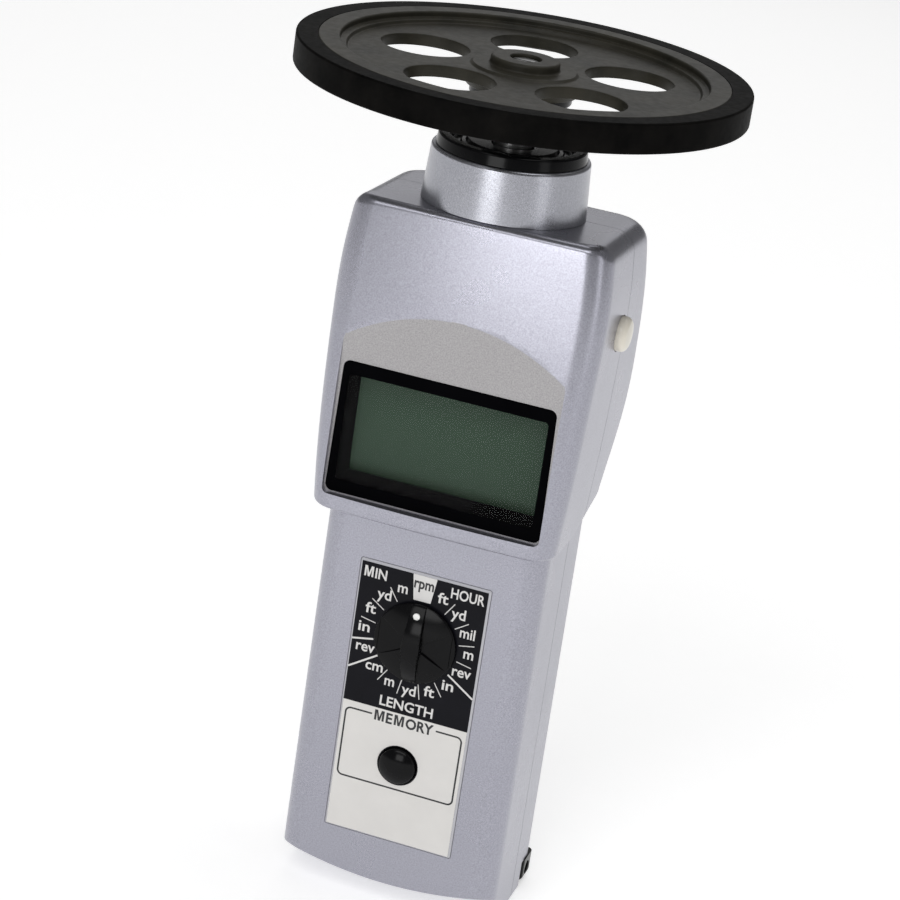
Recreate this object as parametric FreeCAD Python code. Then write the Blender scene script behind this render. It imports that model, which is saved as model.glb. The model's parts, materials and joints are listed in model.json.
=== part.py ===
import FreeCAD, Part
import math
import os
from FreeCAD import Vector

# Hand-held contact tachometer with a length-measuring wheel. Millimetres, +Z up along the spindle,
# front (display) facing -Y, origin on the spindle axis at the level of the casing's lowest edge.

# ---- driving dimensions ------------------------------------------------------------------------
WALL = 2.2                  # casing wall
PARTING_Y = 3.0             # plane where the front and rear casings meet
SEAM = 0.075                # half the gap left at the parting plane

# lower body (the grip): a rounded box with a slight taper
GRIP_HALF_TOP = 25.5
GRIP_HALF_BOTTOM = 26.0
GRIP_FRONT = -16.65
GRIP_BACK = 17.3
GRIP_FRONT_R = 6.0
GRIP_BACK_R = 5.0
GRIP_TOP = 107.0            # hidden inside the head
BOTTOM_EDGE = 5.6           # height of the front bottom edge on the centre line
BOTTOM_RISE = 2.7           # how far that edge has risen at BOTTOM_RISE_X
BOTTOM_RISE_X = 22.0
NOTCH_Y = 8.6               # behind this plane the underside steps up
NOTCH_Z = 6.8

# head: stations of (height, half width, front y, back y)
HEAD_STATIONS = (
    (94.3, 27.9, -22.8, 18.0),
    (102.6, 28.5, -22.8, 19.4),
    (110.6, 29.0, -22.5, 22.8),
    (120.6, 29.45, -22.0, 26.2),
    (135.0, 29.9, -20.95, 25.4),
    (150.6, 29.95, -19.4, 22.2),
    (164.1, 28.7, -17.9, 19.7),
)
HEAD_BOTTOM = HEAD_STATIONS[0][0]
HEAD_TOP = HEAD_STATIONS[-1][0]
HEAD_CROWN_R = 405.0        # the front is crowned from side to side
HEAD_FRONT_R = 6.0
HEAD_BACK_R = 8.0
HEAD_TOP_SLOPE = 0.037      # how fast the top drops from the front edge to the back
HEAD_TOP_FILLET = 1.5       # along the front; it grows round the corners to the shoulder's
HEAD_SHOULDER_FILLET = 4.2  # along the sides and the back
LIP_SLOPE_Y = -4.0          # behind this the head's lower edge climbs to LIP_BACK_Z
LIP_BACK_Z = 102.0

# display pocket, bezel, window and glass
FACET_Y = -20.44            # flat plane cut into the crowned front
POCKET_HALF = 24.95
POCKET_BOTTOM = 97.9
BEZEL_HALF_TOP = 24.0
BEZEL_HALF_BOTTOM = 24.7
BEZEL_BOTTOM = 98.2
BEZEL_TOP = 128.3
BEZEL_CORNER = 1.5
BEZEL_PROUD = 0.15
BEZEL_BACK = -15.1
WINDOW_HALF = 22.6
WINDOW_BOTTOM = 101.1
WINDOW_TOP = 125.4
WINDOW_CORNER = 0.8
PANE = 1.2
GLASS_HALF = 23.0
GLASS_BOTTOM = 100.3
GLASS_TOP = 126.0
GLASS_FRONT = -15.0
GLASS_STEP = -14.1
GLASS_BACK = -13.1

# label plate with the dial and the memory button
LABEL_HALF = 15.2
LABEL_BOTTOM = 16.8
LABEL_TOP = 83.1
LABEL_PROUD = 0.5
LABEL_CHAMFER = 0.45
LABEL_RECESS = 0.6
LABEL_GAP = 0.15
KNOB_Z = 66.7
KNOB_R = 9.45
KNOB_RIM = 0.75             # height of the rim
KNOB_CROWN = 2.3            # height of the low dome at the centre
KNOB_BAR = 4.1              # height of the pointer bar at the centre
KNOB_BAR_HALF = 2.1
KNOB_BAR_END_HALF = 1.5
KNOB_SCOOP_DEG = 29.0       # half angle of the finger scoop on each side
KNOB_SCOOP_IN = 0.75        # how far the scoop's floor lies below the dome's top, beside the bar
KNOB_SCOOP_OUT = 0.25       # and below the rim, past the rim
KNOB_SCOOP_TALL = 6.0       # height of the cutter, clear of the bar
KNOB_GAP = 0.3
SHAFT_IN_KNOB = 1.1         # how far the switch shaft reaches in, under the scoops' floors
KNOB_DOT_R = 7.1            # how far the pointer dot is from the knob's axis
SWITCH_SHAFT_R = 2.4
SWITCH_FRONT = -14.2
MEMORY_Z = 36.05
MEMORY_R = 4.3
MEMORY_FRONT = -19.2
MEMORY_DOME_R = 7.8

# measure button on the right side
MEASURE_Y = -0.9
MEASURE_Z = 142.0
MEASURE_R = 3.9
MEASURE_PROUD = 2.6

# neck, bearings and spindle
COLLAR_BASE_R = 18.05
COLLAR_TOP_R = 17.15
COLLAR_BOTTOM = 162.6
COLLAR_TOP = 175.75
COLLAR_GAP = 0.05
CAP_R = 16.4
CAP_TOP = 178.45
CAP_RECESS_R = 13.8
HOUSING_R = 14.4
BEARING_OR = 9.5            # 626 size: 6 x 19 x 6
BEARING_IR = 3.0
BEARING_W = 6.0
OUTER_RACE_R = 7.9
INNER_RACE_R = 4.6
BALL_R = 1.75
BALL_CIRCLE = 6.25
BALLS = 7
BALL_GAP = 0.06
REAR_BEARING_Z = 150.2
FRONT_BEARING_Z = 168.8
CLIP_Z = REAR_BEARING_Z - 0.7
SHAFT_R = 3.0
SHAFT_TIP_R = 2.5
SHAFT_BOTTOM = 141.0
SHAFT_SHOULDER_Z = 182.5
SHAFT_TOP = 192.4
SHAFT_COLLAR_R = 4.2

# wheel: 97.0 mm across, twelve inches round
WHEEL_R = 48.5
WHEEL_TOP = 195.8
WHEEL_BOTTOM = 189.45
TYRE_IN = 43.8
TYRE_EDGE = 0.5
RIM_IN = 39.2
WEB_TOP = 193.6
WEB_BOTTOM = 191.0
HOLES = 5
HOLE_R = 9.55
HOLE_CHAMFER = 0.2
HOLE_CIRCLE = 23.15
FIRST_HOLE_DEG = 174.0
BOSS_R = 7.4
BOSS_TOP = 196.0
BOSS_RECESS_R = 3.3
BOSS_RECESS = 2.2

# electronics and battery
BOARD_FRONT = -9.0
BOARD_BACK = -7.4
BOARD_HALF_LOW = 16.4
BOARD_HALF_HIGH = 22.4
BOARD_BOTTOM = 20.0
BOARD_STEP = 94.0
BOARD_TOP = 136.0
CELL_R = 7.2
CELL_LENGTH = 49.2
CELL_X = 8.0
CELL_Y = 5.9
CONTACT = 0.4               # thickness of the battery contact plates
SPRING_R = 3.6
SPRING_WIRE_R = 0.35
SPRING_TURNS = 3
TRAY_HALF = 16.2
TRAY_FRONT = -2.7
TRAY_BACK = 12.9
TRAY_BOTTOM = 12.0
TRAY_TOP = 71.2
TRAY_WALL = 0.7
TRAY_END = 1.0
SPRING_H = TRAY_TOP - TRAY_BOTTOM - 2 * (TRAY_END + CONTACT) - CELL_LENGTH - 1.2
DOOR_HALF = 15.6
DOOR_TOP = 74.0
DOOR_GAP = 0.3
DOOR_BACK = 17.2
FOOT_Z = 8.8                # floor of the battery bay and inner floor of the grip
CASING_SCREWS = ((20.3, 14.0), (21.6, 152.6))
BOARD_POSTS = ((13.2, 24.0), (19.0, 98.3), (19.0, 131.2))


# ---- small helpers -----------------------------------------------------------------------------
def block(x0, x1, y0, y1, z0, z1):
    return Part.makeBox(x1 - x0, y1 - y0, z1 - z0, Vector(x0, y0, z0))


def rod(axis, r, a, b, u=0.0, v=0.0):
    """Cylinder from a to b along an axis; u and v are its place on the other two, in X, Y, Z order."""
    base, way = {
        "x": (Vector(a, u, v), Vector(1, 0, 0)),
        "y": (Vector(u, a, v), Vector(0, 1, 0)),
        "z": (Vector(u, v, a), Vector(0, 0, 1)),
    }[axis]
    return Part.makeCylinder(r, b - a, base, way)


def ring(axis, r_out, r_in, a, b, u=0.0, v=0.0):
    return rod(axis, r_out, a, b, u, v).cut(rod(axis, r_in, a, b, u, v))


def turned(profile):
    """Solid of revolution about Z from (radius, height) corners."""
    corners = [Vector(r, 0, z) for r, z in profile]
    face = Part.Face(Part.makePolygon(corners + corners[:1]))
    return face.revolve(Vector(0, 0, 0), Vector(0, 0, 1), 360)


def joined(shapes):
    return shapes[0].multiFuse(shapes[1:]).removeSplitter() if len(shapes) > 1 else shapes[0]


def without(shape, tools):
    return shape.cut(tools) if tools else shape


def rounded_front_plate(half_bottom, half_top, z0, z1, r, y0, y1):
    """Plate facing the front, a trapezoid in X-Z with rounded corners."""
    corners = [Vector(-half_bottom, y0, z0), Vector(half_bottom, y0, z0),
               Vector(half_top, y0, z1), Vector(-half_top, y0, z1)]
    plate = Part.Face(Part.makePolygon(corners + corners[:1])).extrude(Vector(0, y1 - y0, 0))
    upright = [e for e in plate.Edges
               if abs(e.BoundBox.YLength - abs(y1 - y0)) < 1e-6 and e.BoundBox.XLength < 1e-6]
    return plate.makeFillet(r, upright)


def section(half, front, back, front_r, back_r, z, crown_r=None):
    """Closed outline at height z: a crowned or flat front, round corners, flat sides and back."""
    a = half - front_r
    sag = a * a / (2 * crown_r) if crown_r else 0.0
    corner_y = front + sag + front_r
    k = math.sqrt(0.5)
    front_left, front_right = Vector(-a, front + sag, z), Vector(a, front + sag, z)
    if crown_r:
        face = Part.Arc(front_left, Vector(0, front, z), front_right).toShape()
    else:
        face = Part.LineSegment(front_left, front_right).toShape()
    b = half - back_r
    edges = [face]
    edges.append(Part.Arc(front_right, Vector(a + k * front_r, corner_y - k * front_r, z),
                          Vector(half, corner_y, z)).toShape())
    edges.append(Part.LineSegment(Vector(half, corner_y, z), Vector(half, back - back_r, z)).toShape())
    edges.append(Part.Arc(Vector(half, back - back_r, z),
                          Vector(b + k * back_r, back - back_r + k * back_r, z),
                          Vector(b, back, z)).toShape())
    edges.append(Part.LineSegment(Vector(b, back, z), Vector(-b, back, z)).toShape())
    edges.append(Part.Arc(Vector(-b, back, z),
                          Vector(-b - k * back_r, back - back_r + k * back_r, z),
                          Vector(-half, back - back_r, z)).toShape())
    edges.append(Part.LineSegment(Vector(-half, back - back_r, z), Vector(-half, corner_y, z)).toShape())
    edges.append(Part.Arc(Vector(-half, corner_y, z),
                          Vector(-a - k * front_r, corner_y - k * front_r, z), front_left).toShape())
    return Part.Wire(edges)


# ---- casing ------------------------------------------------------------------------------------
def top_z(y):
    """Height of the head's sloping top."""
    return HEAD_TOP - HEAD_TOP_SLOPE * (y - HEAD_STATIONS[-1][2])


def below_top_plane(drop):
    """Everything under the head's sloping top, lowered by drop."""
    corners = [Vector(-40, -40, 80), Vector(-40, -40, top_z(-40) - drop), Vector(-40, 40, top_z(40) - drop),
               Vector(-40, 40, 80)]
    return Part.Face(Part.makePolygon(corners + corners[:1])).extrude(Vector(80, 0, 0))


def shoulder_fillet(head):
    """Rounds the top's rim: tight along the front, growing round the corners, wide at sides and back."""
    def radius(point):
        along = (point.y - HEAD_STATIONS[-1][2]) / HEAD_FRONT_R
        share = min(1.0, max(0.0, along))
        return HEAD_TOP_FILLET + (HEAD_SHOULDER_FILLET - HEAD_TOP_FILLET) * share
    rims = []
    for number, edge in enumerate(head.Edges, 1):
        ends = [edge.Vertexes[0].Point, edge.Vertexes[-1].Point]
        middle = edge.valueAt((edge.FirstParameter + edge.LastParameter) / 2)
        if all(abs(v.z - top_z(v.y)) < 1e-3 for v in ends + [middle]):
            start, end = edge.valueAt(edge.FirstParameter), edge.valueAt(edge.LastParameter)
            rims.append((number, radius(start), radius(end)))
    sheet = FreeCAD.newDocument("shoulder")
    base = sheet.addObject("Part::Feature", "base")
    base.Shape = head
    rounded = sheet.addObject("Part::Fillet", "rounded")
    rounded.Base = base
    rounded.Edges = rims
    sheet.recompute()
    shape = rounded.Shape.copy()
    FreeCAD.closeDocument(sheet.Name)
    return shape


def head_outer():
    wires = [section(half, front, back, HEAD_FRONT_R, HEAD_BACK_R, z, HEAD_CROWN_R)
             for z, half, front, back in HEAD_STATIONS]
    head = Part.makeLoft(wires, True, False).common(below_top_plane(0.0))
    head = shoulder_fillet(head)
    back_y = HEAD_STATIONS[0][3] + 8
    wedge = [Vector(-40, LIP_SLOPE_Y, HEAD_BOTTOM - 2), Vector(-40, LIP_SLOPE_Y, HEAD_BOTTOM),
             Vector(-40, back_y, LIP_BACK_Z + 3), Vector(-40, back_y, HEAD_BOTTOM - 2)]
    wedge = Part.Face(Part.makePolygon(wedge + wedge[:1])).extrude(Vector(80, 0, 0))
    return head.cut(wedge)


def head_inner():
    wires = [section(half - WALL, front + WALL, back - WALL, HEAD_FRONT_R - WALL, HEAD_BACK_R - WALL,
                     z, HEAD_CROWN_R) for z, half, front, back in HEAD_STATIONS]
    cavity = Part.makeLoft(wires, True, False)
    keep = block(-40, 40, FACET_Y + WALL - 0.2, 40, HEAD_BOTTOM + WALL, HEAD_TOP)
    keep = keep.common(below_top_plane(WALL))
    back_y = HEAD_STATIONS[0][3] + 8
    lip = [Vector(-40, LIP_SLOPE_Y, HEAD_BOTTOM), Vector(-40, LIP_SLOPE_Y, HEAD_BOTTOM + WALL),
           Vector(-40, back_y, LIP_BACK_Z + 3 + WALL), Vector(-40, back_y, HEAD_BOTTOM)]
    lip = Part.Face(Part.makePolygon(lip + lip[:1])).extrude(Vector(80, 0, 0))
    return cavity.common(keep).cut(lip)


def grip_prism(inset, z0, z1):
    def half(z):
        return GRIP_HALF_BOTTOM + (GRIP_HALF_TOP - GRIP_HALF_BOTTOM) * z / GRIP_TOP
    wires = [section(half(z) - inset, GRIP_FRONT + inset, GRIP_BACK - inset, GRIP_FRONT_R - inset,
                     GRIP_BACK_R - inset, z) for z in (z0, z1)]
    return Part.makeLoft(wires, True, True)


def underside_cutter():
    """Everything below the casing's foot: a crowned slope at the front and a step at the back."""
    reach = 1.25
    y_front = GRIP_FRONT * reach
    wide = 30.0
    edge = reach * BOTTOM_EDGE
    edge_wide = reach * (BOTTOM_EDGE + BOTTOM_RISE * (wide / BOTTOM_RISE_X) ** 2)

    def wire(y, mid, side):
        left, right = Vector(-wide, y, side), Vector(wide, y, side)
        low_left, low_right = Vector(-wide, y, -20), Vector(wide, y, -20)
        if abs(mid - side) > 1e-9:
            top = Part.Arc(left, Vector(0, y, mid), right).toShape()
        else:
            top = Part.LineSegment(left, right).toShape()
        return Part.Wire([top, Part.LineSegment(right, low_right).toShape(),
                          Part.LineSegment(low_right, low_left).toShape(),
                          Part.LineSegment(low_left, left).toShape()])
    slope = Part.makeLoft([wire(y_front, edge, edge_wide), wire(0.0, 0.0, 0.0)], True, True)
    step = block(-40, 40, NOTCH_Y, 40, -20, NOTCH_Z)
    flat = block(-40, 40, -0.01, 40, -20, 0)
    return [slope, step, flat]


def casing_outer():
    grip = without(grip_prism(0.0, -2.0, GRIP_TOP), underside_cutter())
    return head_outer().fuse(grip)


def casing_cavity():
    bay = grip_prism(WALL, FOOT_Z, GRIP_TOP + 3)
    keel = block(-21.5, 21.5, -4.0, NOTCH_Y - WALL, 3.0, FOOT_Z + 0.5)
    return head_inner().fuse([bay, keel])


def front_half():
    return block(-60, 60, -60, PARTING_Y - SEAM, -20, 220)


def rear_half():
    return block(-60, 60, PARTING_Y + SEAM, 60, -20, 220)


def bezel_plate(grow, y0, y1):
    return rounded_front_plate(BEZEL_HALF_BOTTOM + grow, BEZEL_HALF_TOP + grow, BEZEL_BOTTOM - grow,
                               BEZEL_TOP + grow, BEZEL_CORNER + grow, y0, y1)


def front_casing(outer, cavity):
    shell = outer.cut(cavity)
    solids = [shell.common(front_half())]
    inner = GRIP_FRONT + WALL - 0.3
    for x, z in CASING_SCREWS:
        for side in (-1, 1):
            start = GRIP_FRONT + 2 if z < HEAD_BOTTOM else GRIP_FRONT - 2
            boss = rod("y", 3.4, start, PARTING_Y - SEAM, side * x, z)
            solids.append(boss.common(outer))
    for x, z in BOARD_POSTS:
        start = inner if z < HEAD_BOTTOM else FACET_Y + WALL - 0.4
        for side in (-1, 1):
            solids.append(rod("y", 1.9, start, BOARD_FRONT, side * x, z))
    for x in (15.3, 19.1):
        solids.append(block(x - 1.0, x + 1.0, FACET_Y + 1.2, -7.2, MEASURE_Z - 3.5, MEASURE_Z + 3.5))
    body = joined(solids)
    pocket = rounded_front_plate(POCKET_HALF, POCKET_HALF, POCKET_BOTTOM, HEAD_TOP - 3, 1.2,
                                 -40, FACET_Y)
    tools = [pocket, bezel_plate(0.1, -30, -14.0)]
    tools.append(block(-LABEL_HALF - LABEL_GAP, LABEL_HALF + LABEL_GAP, GRIP_FRONT - 1,
                       GRIP_FRONT + LABEL_RECESS, LABEL_BOTTOM - LABEL_GAP, LABEL_TOP + LABEL_GAP))
    tools.append(rod("y", 3.9, -30, -13, 0, KNOB_Z))
    tools.append(rod("y", MEMORY_R + 0.3, -30, -13, 0, MEMORY_Z))
    tools.append(rod("x", MEASURE_R + 0.2, 24, 40, MEASURE_Y, MEASURE_Z))
    tools.append(rod("z", HOUSING_R + 0.1, HEAD_TOP - 5, HEAD_TOP + 5))
    for x, z in CASING_SCREWS:
        for side in (-1, 1):
            tools.append(rod("y", 1.25, -10.0, PARTING_Y + 1, side * x, z))
    for x, z in BOARD_POSTS:
        for side in (-1, 1):
            tools.append(rod("y", 1.0, -14.0, BOARD_FRONT + 1, side * x, z))
    return without(body, tools)


def rear_casing(outer, cavity):
    shell = outer.cut(cavity)
    solids = [shell.common(rear_half())]
    for x, z in CASING_SCREWS:
        for side in (-1, 1):
            boss = rod("y", 3.4, PARTING_Y + SEAM, 30, side * x, z)
            solids.append(boss.common(outer))
    body = joined(solids)
    tools = [rod("z", HOUSING_R + 0.1, HEAD_TOP - 5, HEAD_TOP + 5)]
    for x, z in CASING_SCREWS:
        for side in (-1, 1):
            tools.append(rod("y", 1.4, 0, 40, side * x, z))
            tools.append(rod("y", 2.7, screw_seat(z), 40, side * x, z))
    gap = DOOR_GAP
    tools.append(block(-DOOR_HALF - gap, DOOR_HALF + gap, 13.2, 40, NOTCH_Z - 5, DOOR_TOP + gap))
    tools.append(block(-DOOR_HALF - 1.1 - gap, DOOR_HALF + 1.1 + gap, 13.2, GRIP_BACK - WALL + 0.05,
                       NOTCH_Z - 5, DOOR_TOP + 2.6))
    tools.append(rod("z", 1.8, NOTCH_Z - 5, FOOT_Z + 1, 21.8, 13.0))
    return without(body, tools)


def screw_seat(z):
    """Height in Y of the flat that a casing screw's head sits on."""
    return 10.0 if z < HEAD_BOTTOM else 13.0


def casing_screws():
    screws = []
    for x, z in CASING_SCREWS:
        seat = screw_seat(z)
        for side in (-1, 1):
            head = rod("y", 2.45, seat, seat + 1.7, side * x, z)
            shank = rod("y", 1.25, -7.0, seat, side * x, z)
            slot = block(side * x - 0.35, side * x + 0.35, seat + 0.9, seat + 2, z - 1.7, z + 1.7)
            cross = block(side * x - 1.7, side * x + 1.7, seat + 0.9, seat + 2, z - 0.35, z + 0.35)
            screws.append(head.fuse(shank).removeSplitter().cut([slot, cross]))
    return Part.makeCompound(screws)


# ---- display -----------------------------------------------------------------------------------
def window_plate(grow, y0, y1):
    return rounded_front_plate(WINDOW_HALF + grow, WINDOW_HALF + grow, WINDOW_BOTTOM - grow,
                               WINDOW_TOP + grow, WINDOW_CORNER + grow, y0, y1)


def lcd_bezel():
    frame = bezel_plate(0.0, FACET_Y - BEZEL_PROUD, BEZEL_BACK)
    return frame.cut(window_plate(0.0, -30, -10))


def lcd_window():
    return window_plate(-0.05, FACET_Y, FACET_Y + PANE)


def lcd_glass():
    lower = block(-GLASS_HALF, GLASS_HALF, GLASS_STEP, GLASS_BACK, GLASS_BOTTOM, GLASS_TOP)
    upper = block(-GLASS_HALF, GLASS_HALF, GLASS_FRONT, GLASS_STEP, GLASS_BOTTOM + 1.6, GLASS_TOP)
    return joined([lower, upper])


def lcd_reflector():
    return block(-20.5, 20.5, GLASS_BACK, GLASS_BACK + 0.6, 105.0, 122.4)


def zebra_strips():
    strips = [block(-20, 20, GLASS_BACK, BOARD_FRONT, z - 1.2, z + 1.2) for z in (102.9, 124.4)]
    return Part.makeCompound(strips)


# ---- front panel controls ----------------------------------------------------------------------
def label_plate():
    face = GRIP_FRONT - LABEL_PROUD
    plate = rounded_front_plate(LABEL_HALF, LABEL_HALF, LABEL_BOTTOM, LABEL_TOP, 0.8,
                                face, GRIP_FRONT + LABEL_RECESS)
    plate = plate.makeChamfer(LABEL_CHAMFER, [e for e in plate.Edges if e.BoundBox.YMax < face + 1e-3])
    return plate.cut([rod("y", 3.9, -30, -10, 0, KNOB_Z), rod("y", MEMORY_R + 0.3, -30, -10, 0, MEMORY_Z)])


def knob_back():
    return GRIP_FRONT - LABEL_PROUD - KNOB_GAP


def knob_dome(crown):
    """Domed disc standing on the knob's back plane: the rim's height outside, crown at the centre."""
    drop = crown - KNOB_RIM
    sphere_r = (KNOB_R ** 2 + drop ** 2) / (2 * drop)
    ball = Part.makeSphere(sphere_r, Vector(0, knob_back() - crown + sphere_r, KNOB_Z))
    disc = rod("y", KNOB_R, knob_back() - crown - 1, knob_back(), 0, KNOB_Z)
    return disc.common(ball)


def knob_bar():
    """Pointer bar across the knob, narrower towards its ends."""
    half, end, reach = KNOB_BAR_HALF, KNOB_BAR_END_HALF, KNOB_R + 1
    plan = [(-half, 0), (-end, -reach), (end, -reach), (half, 0), (end, reach), (-end, reach)]
    corners = [Vector(x, knob_back() - KNOB_BAR - 1, KNOB_Z + z) for x, z in plan]
    bar = Part.Face(Part.makePolygon(corners + corners[:1])).extrude(Vector(0, KNOB_BAR + 1, 0))
    return bar.common(knob_dome(KNOB_BAR))


def finger_scoop(side):
    """Wedge cut from the low dome beside the bar, its floor falling to the rim."""
    reach = KNOB_R + 2
    rise = reach * math.tan(math.radians(KNOB_SCOOP_DEG))
    inner = KNOB_BAR_HALF * math.tan(math.radians(KNOB_SCOOP_DEG))
    floor_in, floor_out = knob_back() - KNOB_CROWN + KNOB_SCOOP_IN, knob_back() - KNOB_RIM + KNOB_SCOOP_OUT
    wires = []
    for x, half, y in ((KNOB_BAR_HALF, inner, floor_in), (reach, rise, floor_out)):
        front = y - KNOB_SCOOP_TALL
        corners = [Vector(side * x, y, KNOB_Z - half), Vector(side * x, y, KNOB_Z + half),
                   Vector(side * x, front, KNOB_Z + half), Vector(side * x, front, KNOB_Z - half)]
        wires.append(Part.makePolygon(corners + corners[:1]))
    return Part.makeLoft(wires, True, True)


def mode_knob():
    disc = knob_dome(KNOB_CROWN).cut([finger_scoop(side) for side in (-1, 1)])
    knob = joined([disc, knob_bar()])
    socket = rod("y", SWITCH_SHAFT_R, knob_back() - SHAFT_IN_KNOB, knob_back() + 1, 0, KNOB_Z)
    return knob.cut([socket, rod("y", 0.8, -40, dot_back(), 0, KNOB_Z + KNOB_DOT_R)])


def dot_back():
    """The pointer dot is sunk in the bar, whose top falls towards the rim."""
    drop = KNOB_BAR - KNOB_RIM
    sphere_r = (KNOB_R ** 2 + drop ** 2) / (2 * drop)
    fall = sphere_r - math.sqrt(sphere_r ** 2 - KNOB_DOT_R ** 2)
    return knob_back() - KNOB_BAR + fall + 0.5


def knob_dot():
    return rod("y", 0.8, dot_back() - 0.5, dot_back(), 0, KNOB_Z + KNOB_DOT_R)


def rotary_switch():
    can = rod("y", 8.4, SWITCH_FRONT, BOARD_FRONT, 0, KNOB_Z)
    bush = rod("y", 3.7, -16.2, SWITCH_FRONT, 0, KNOB_Z)
    return joined([can, bush]).cut(rod("y", SWITCH_SHAFT_R + 0.05, -20, -10.4, 0, KNOB_Z))


def switch_shaft():
    return rod("y", SWITCH_SHAFT_R, knob_back() - SHAFT_IN_KNOB, -10.6, 0, KNOB_Z)


def memory_button():
    crown = Part.makeSphere(MEMORY_DOME_R, Vector(0, MEMORY_FRONT + MEMORY_DOME_R, MEMORY_Z))
    cap = crown.common(rod("y", MEMORY_R, -22, MEMORY_FRONT + 2.0, 0, MEMORY_Z))
    stalk = rod("y", MEMORY_R, MEMORY_FRONT + 2.0, -14.0, 0, MEMORY_Z)
    flange = rod("y", 5.4, -14.1, -13.3, 0, MEMORY_Z)
    return joined([cap, stalk, flange])


def memory_switch():
    body = block(-3, 3, -12.3, BOARD_FRONT, MEMORY_Z - 3, MEMORY_Z + 3)
    return body.cut(rod("y", 1.75, -20, -9.8, 0, MEMORY_Z))


def memory_plunger():
    return rod("y", 1.7, -13.3, -10.8, 0, MEMORY_Z)


def measure_button():
    tip = HEAD_STATIONS[4][1] + MEASURE_PROUD
    cap = rod("x", MEASURE_R, 26.6, tip, MEASURE_Y, MEASURE_Z)
    rim = [e for e in cap.Edges if e.BoundBox.XLength < 1e-6 and e.BoundBox.XMin > tip - 0.1]
    cap = cap.makeFillet(1.5, rim)
    flange = rod("x", 5.2, 25.6, 27.1, MEASURE_Y, MEASURE_Z)
    stem = rod("x", 1.6, 24.4, 25.6, MEASURE_Y, MEASURE_Z)
    return joined([cap, flange, stem])


def measure_switch():
    body = block(20.1, 23.3, MEASURE_Y - 3, MEASURE_Y + 3, MEASURE_Z - 3, MEASURE_Z + 3)
    return body.cut(rod("x", 1.75, 21.0, 30, MEASURE_Y, MEASURE_Z))


def measure_plunger():
    return rod("x", 1.7, 22.2, 24.4, MEASURE_Y, MEASURE_Z)


def measure_board():
    return block(18.5, 20.1, -7.2, 4.4, MEASURE_Z - 6, MEASURE_Z + 6)


# ---- neck and bearings -------------------------------------------------------------------------
def neck_collar():
    """Silver ring round the bearing housing; its foot follows the head's sloping top."""
    edge = 0.5
    outer = [(COLLAR_BASE_R, COLLAR_BOTTOM), (COLLAR_TOP_R, COLLAR_TOP - edge),
             (COLLAR_TOP_R - edge, COLLAR_TOP)]
    collar = turned([(HOUSING_R, COLLAR_BOTTOM)] + outer + [(HOUSING_R, COLLAR_TOP)])
    return collar.cut(below_top_plane(-COLLAR_GAP))


def bearing_housing():
    sleeve = ring("z", HOUSING_R, 8.0, 149.6, COLLAR_TOP)
    ears = block(-21, 21, -8.5, 8.5, HEAD_TOP - WALL - 3.4, HEAD_TOP).common(below_top_plane(WALL))
    body = joined([sleeve, ears.cut(rod("z", HOUSING_R - 1, 140, 180))])
    seats = [rod("z", BEARING_OR, 140, REAR_BEARING_Z + BEARING_W),
             rod("z", BEARING_OR, FRONT_BEARING_Z, 190)]
    return body.cut(seats)


def ball_groove(r):
    def cut_at(z):
        return Part.makeTorus(BALL_CIRCLE, r, Vector(0, 0, z + BEARING_W / 2), Vector(0, 0, 1))
    return cut_at


def bearing_outer(z):
    return ring("z", BEARING_OR, OUTER_RACE_R, z, z + BEARING_W).cut(ball_groove(BALL_R)(z))


def bearing_inner(z):
    groove = ball_groove(BALL_R + BALL_GAP)(z)
    return ring("z", INNER_RACE_R, BEARING_IR, z, z + BEARING_W).cut(groove)


def bearing_balls(z):
    balls = []
    for n in range(BALLS):
        a = 2 * math.pi * n / BALLS
        centre = Vector(BALL_CIRCLE * math.cos(a), BALL_CIRCLE * math.sin(a), z + BEARING_W / 2)
        balls.append(Part.makeSphere(BALL_R, centre))
    return Part.makeCompound(balls)


def bearing_spacer():
    return ring("z", 4.3, SHAFT_R, REAR_BEARING_Z + BEARING_W, FRONT_BEARING_Z)


def dust_seal():
    return ring("z", BEARING_OR - 0.1, SHAFT_COLLAR_R + 0.15, FRONT_BEARING_Z + BEARING_W + 0.05,
                COLLAR_TOP)


def bearing_cap():
    """Black screw-on ring over the front bearing, with a raised rim and a shallow dish."""
    hole = SHAFT_COLLAR_R + 0.4
    return turned([(hole, COLLAR_TOP), (CAP_R - 0.2, COLLAR_TOP), (CAP_R, COLLAR_TOP + 0.5),
                   (CAP_R - 0.4, CAP_TOP - 0.5), (CAP_R - 0.9, CAP_TOP),
                   (CAP_RECESS_R + 0.3, CAP_TOP), (CAP_RECESS_R, CAP_TOP - 0.4),
                   (CAP_RECESS_R - 0.3, COLLAR_TOP + 1.1), (10.2, COLLAR_TOP + 1.1),
                   (9.6, COLLAR_TOP + 1.8), (hole + 1.2, COLLAR_TOP + 1.8), (hole, COLLAR_TOP + 1.4)])


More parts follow.
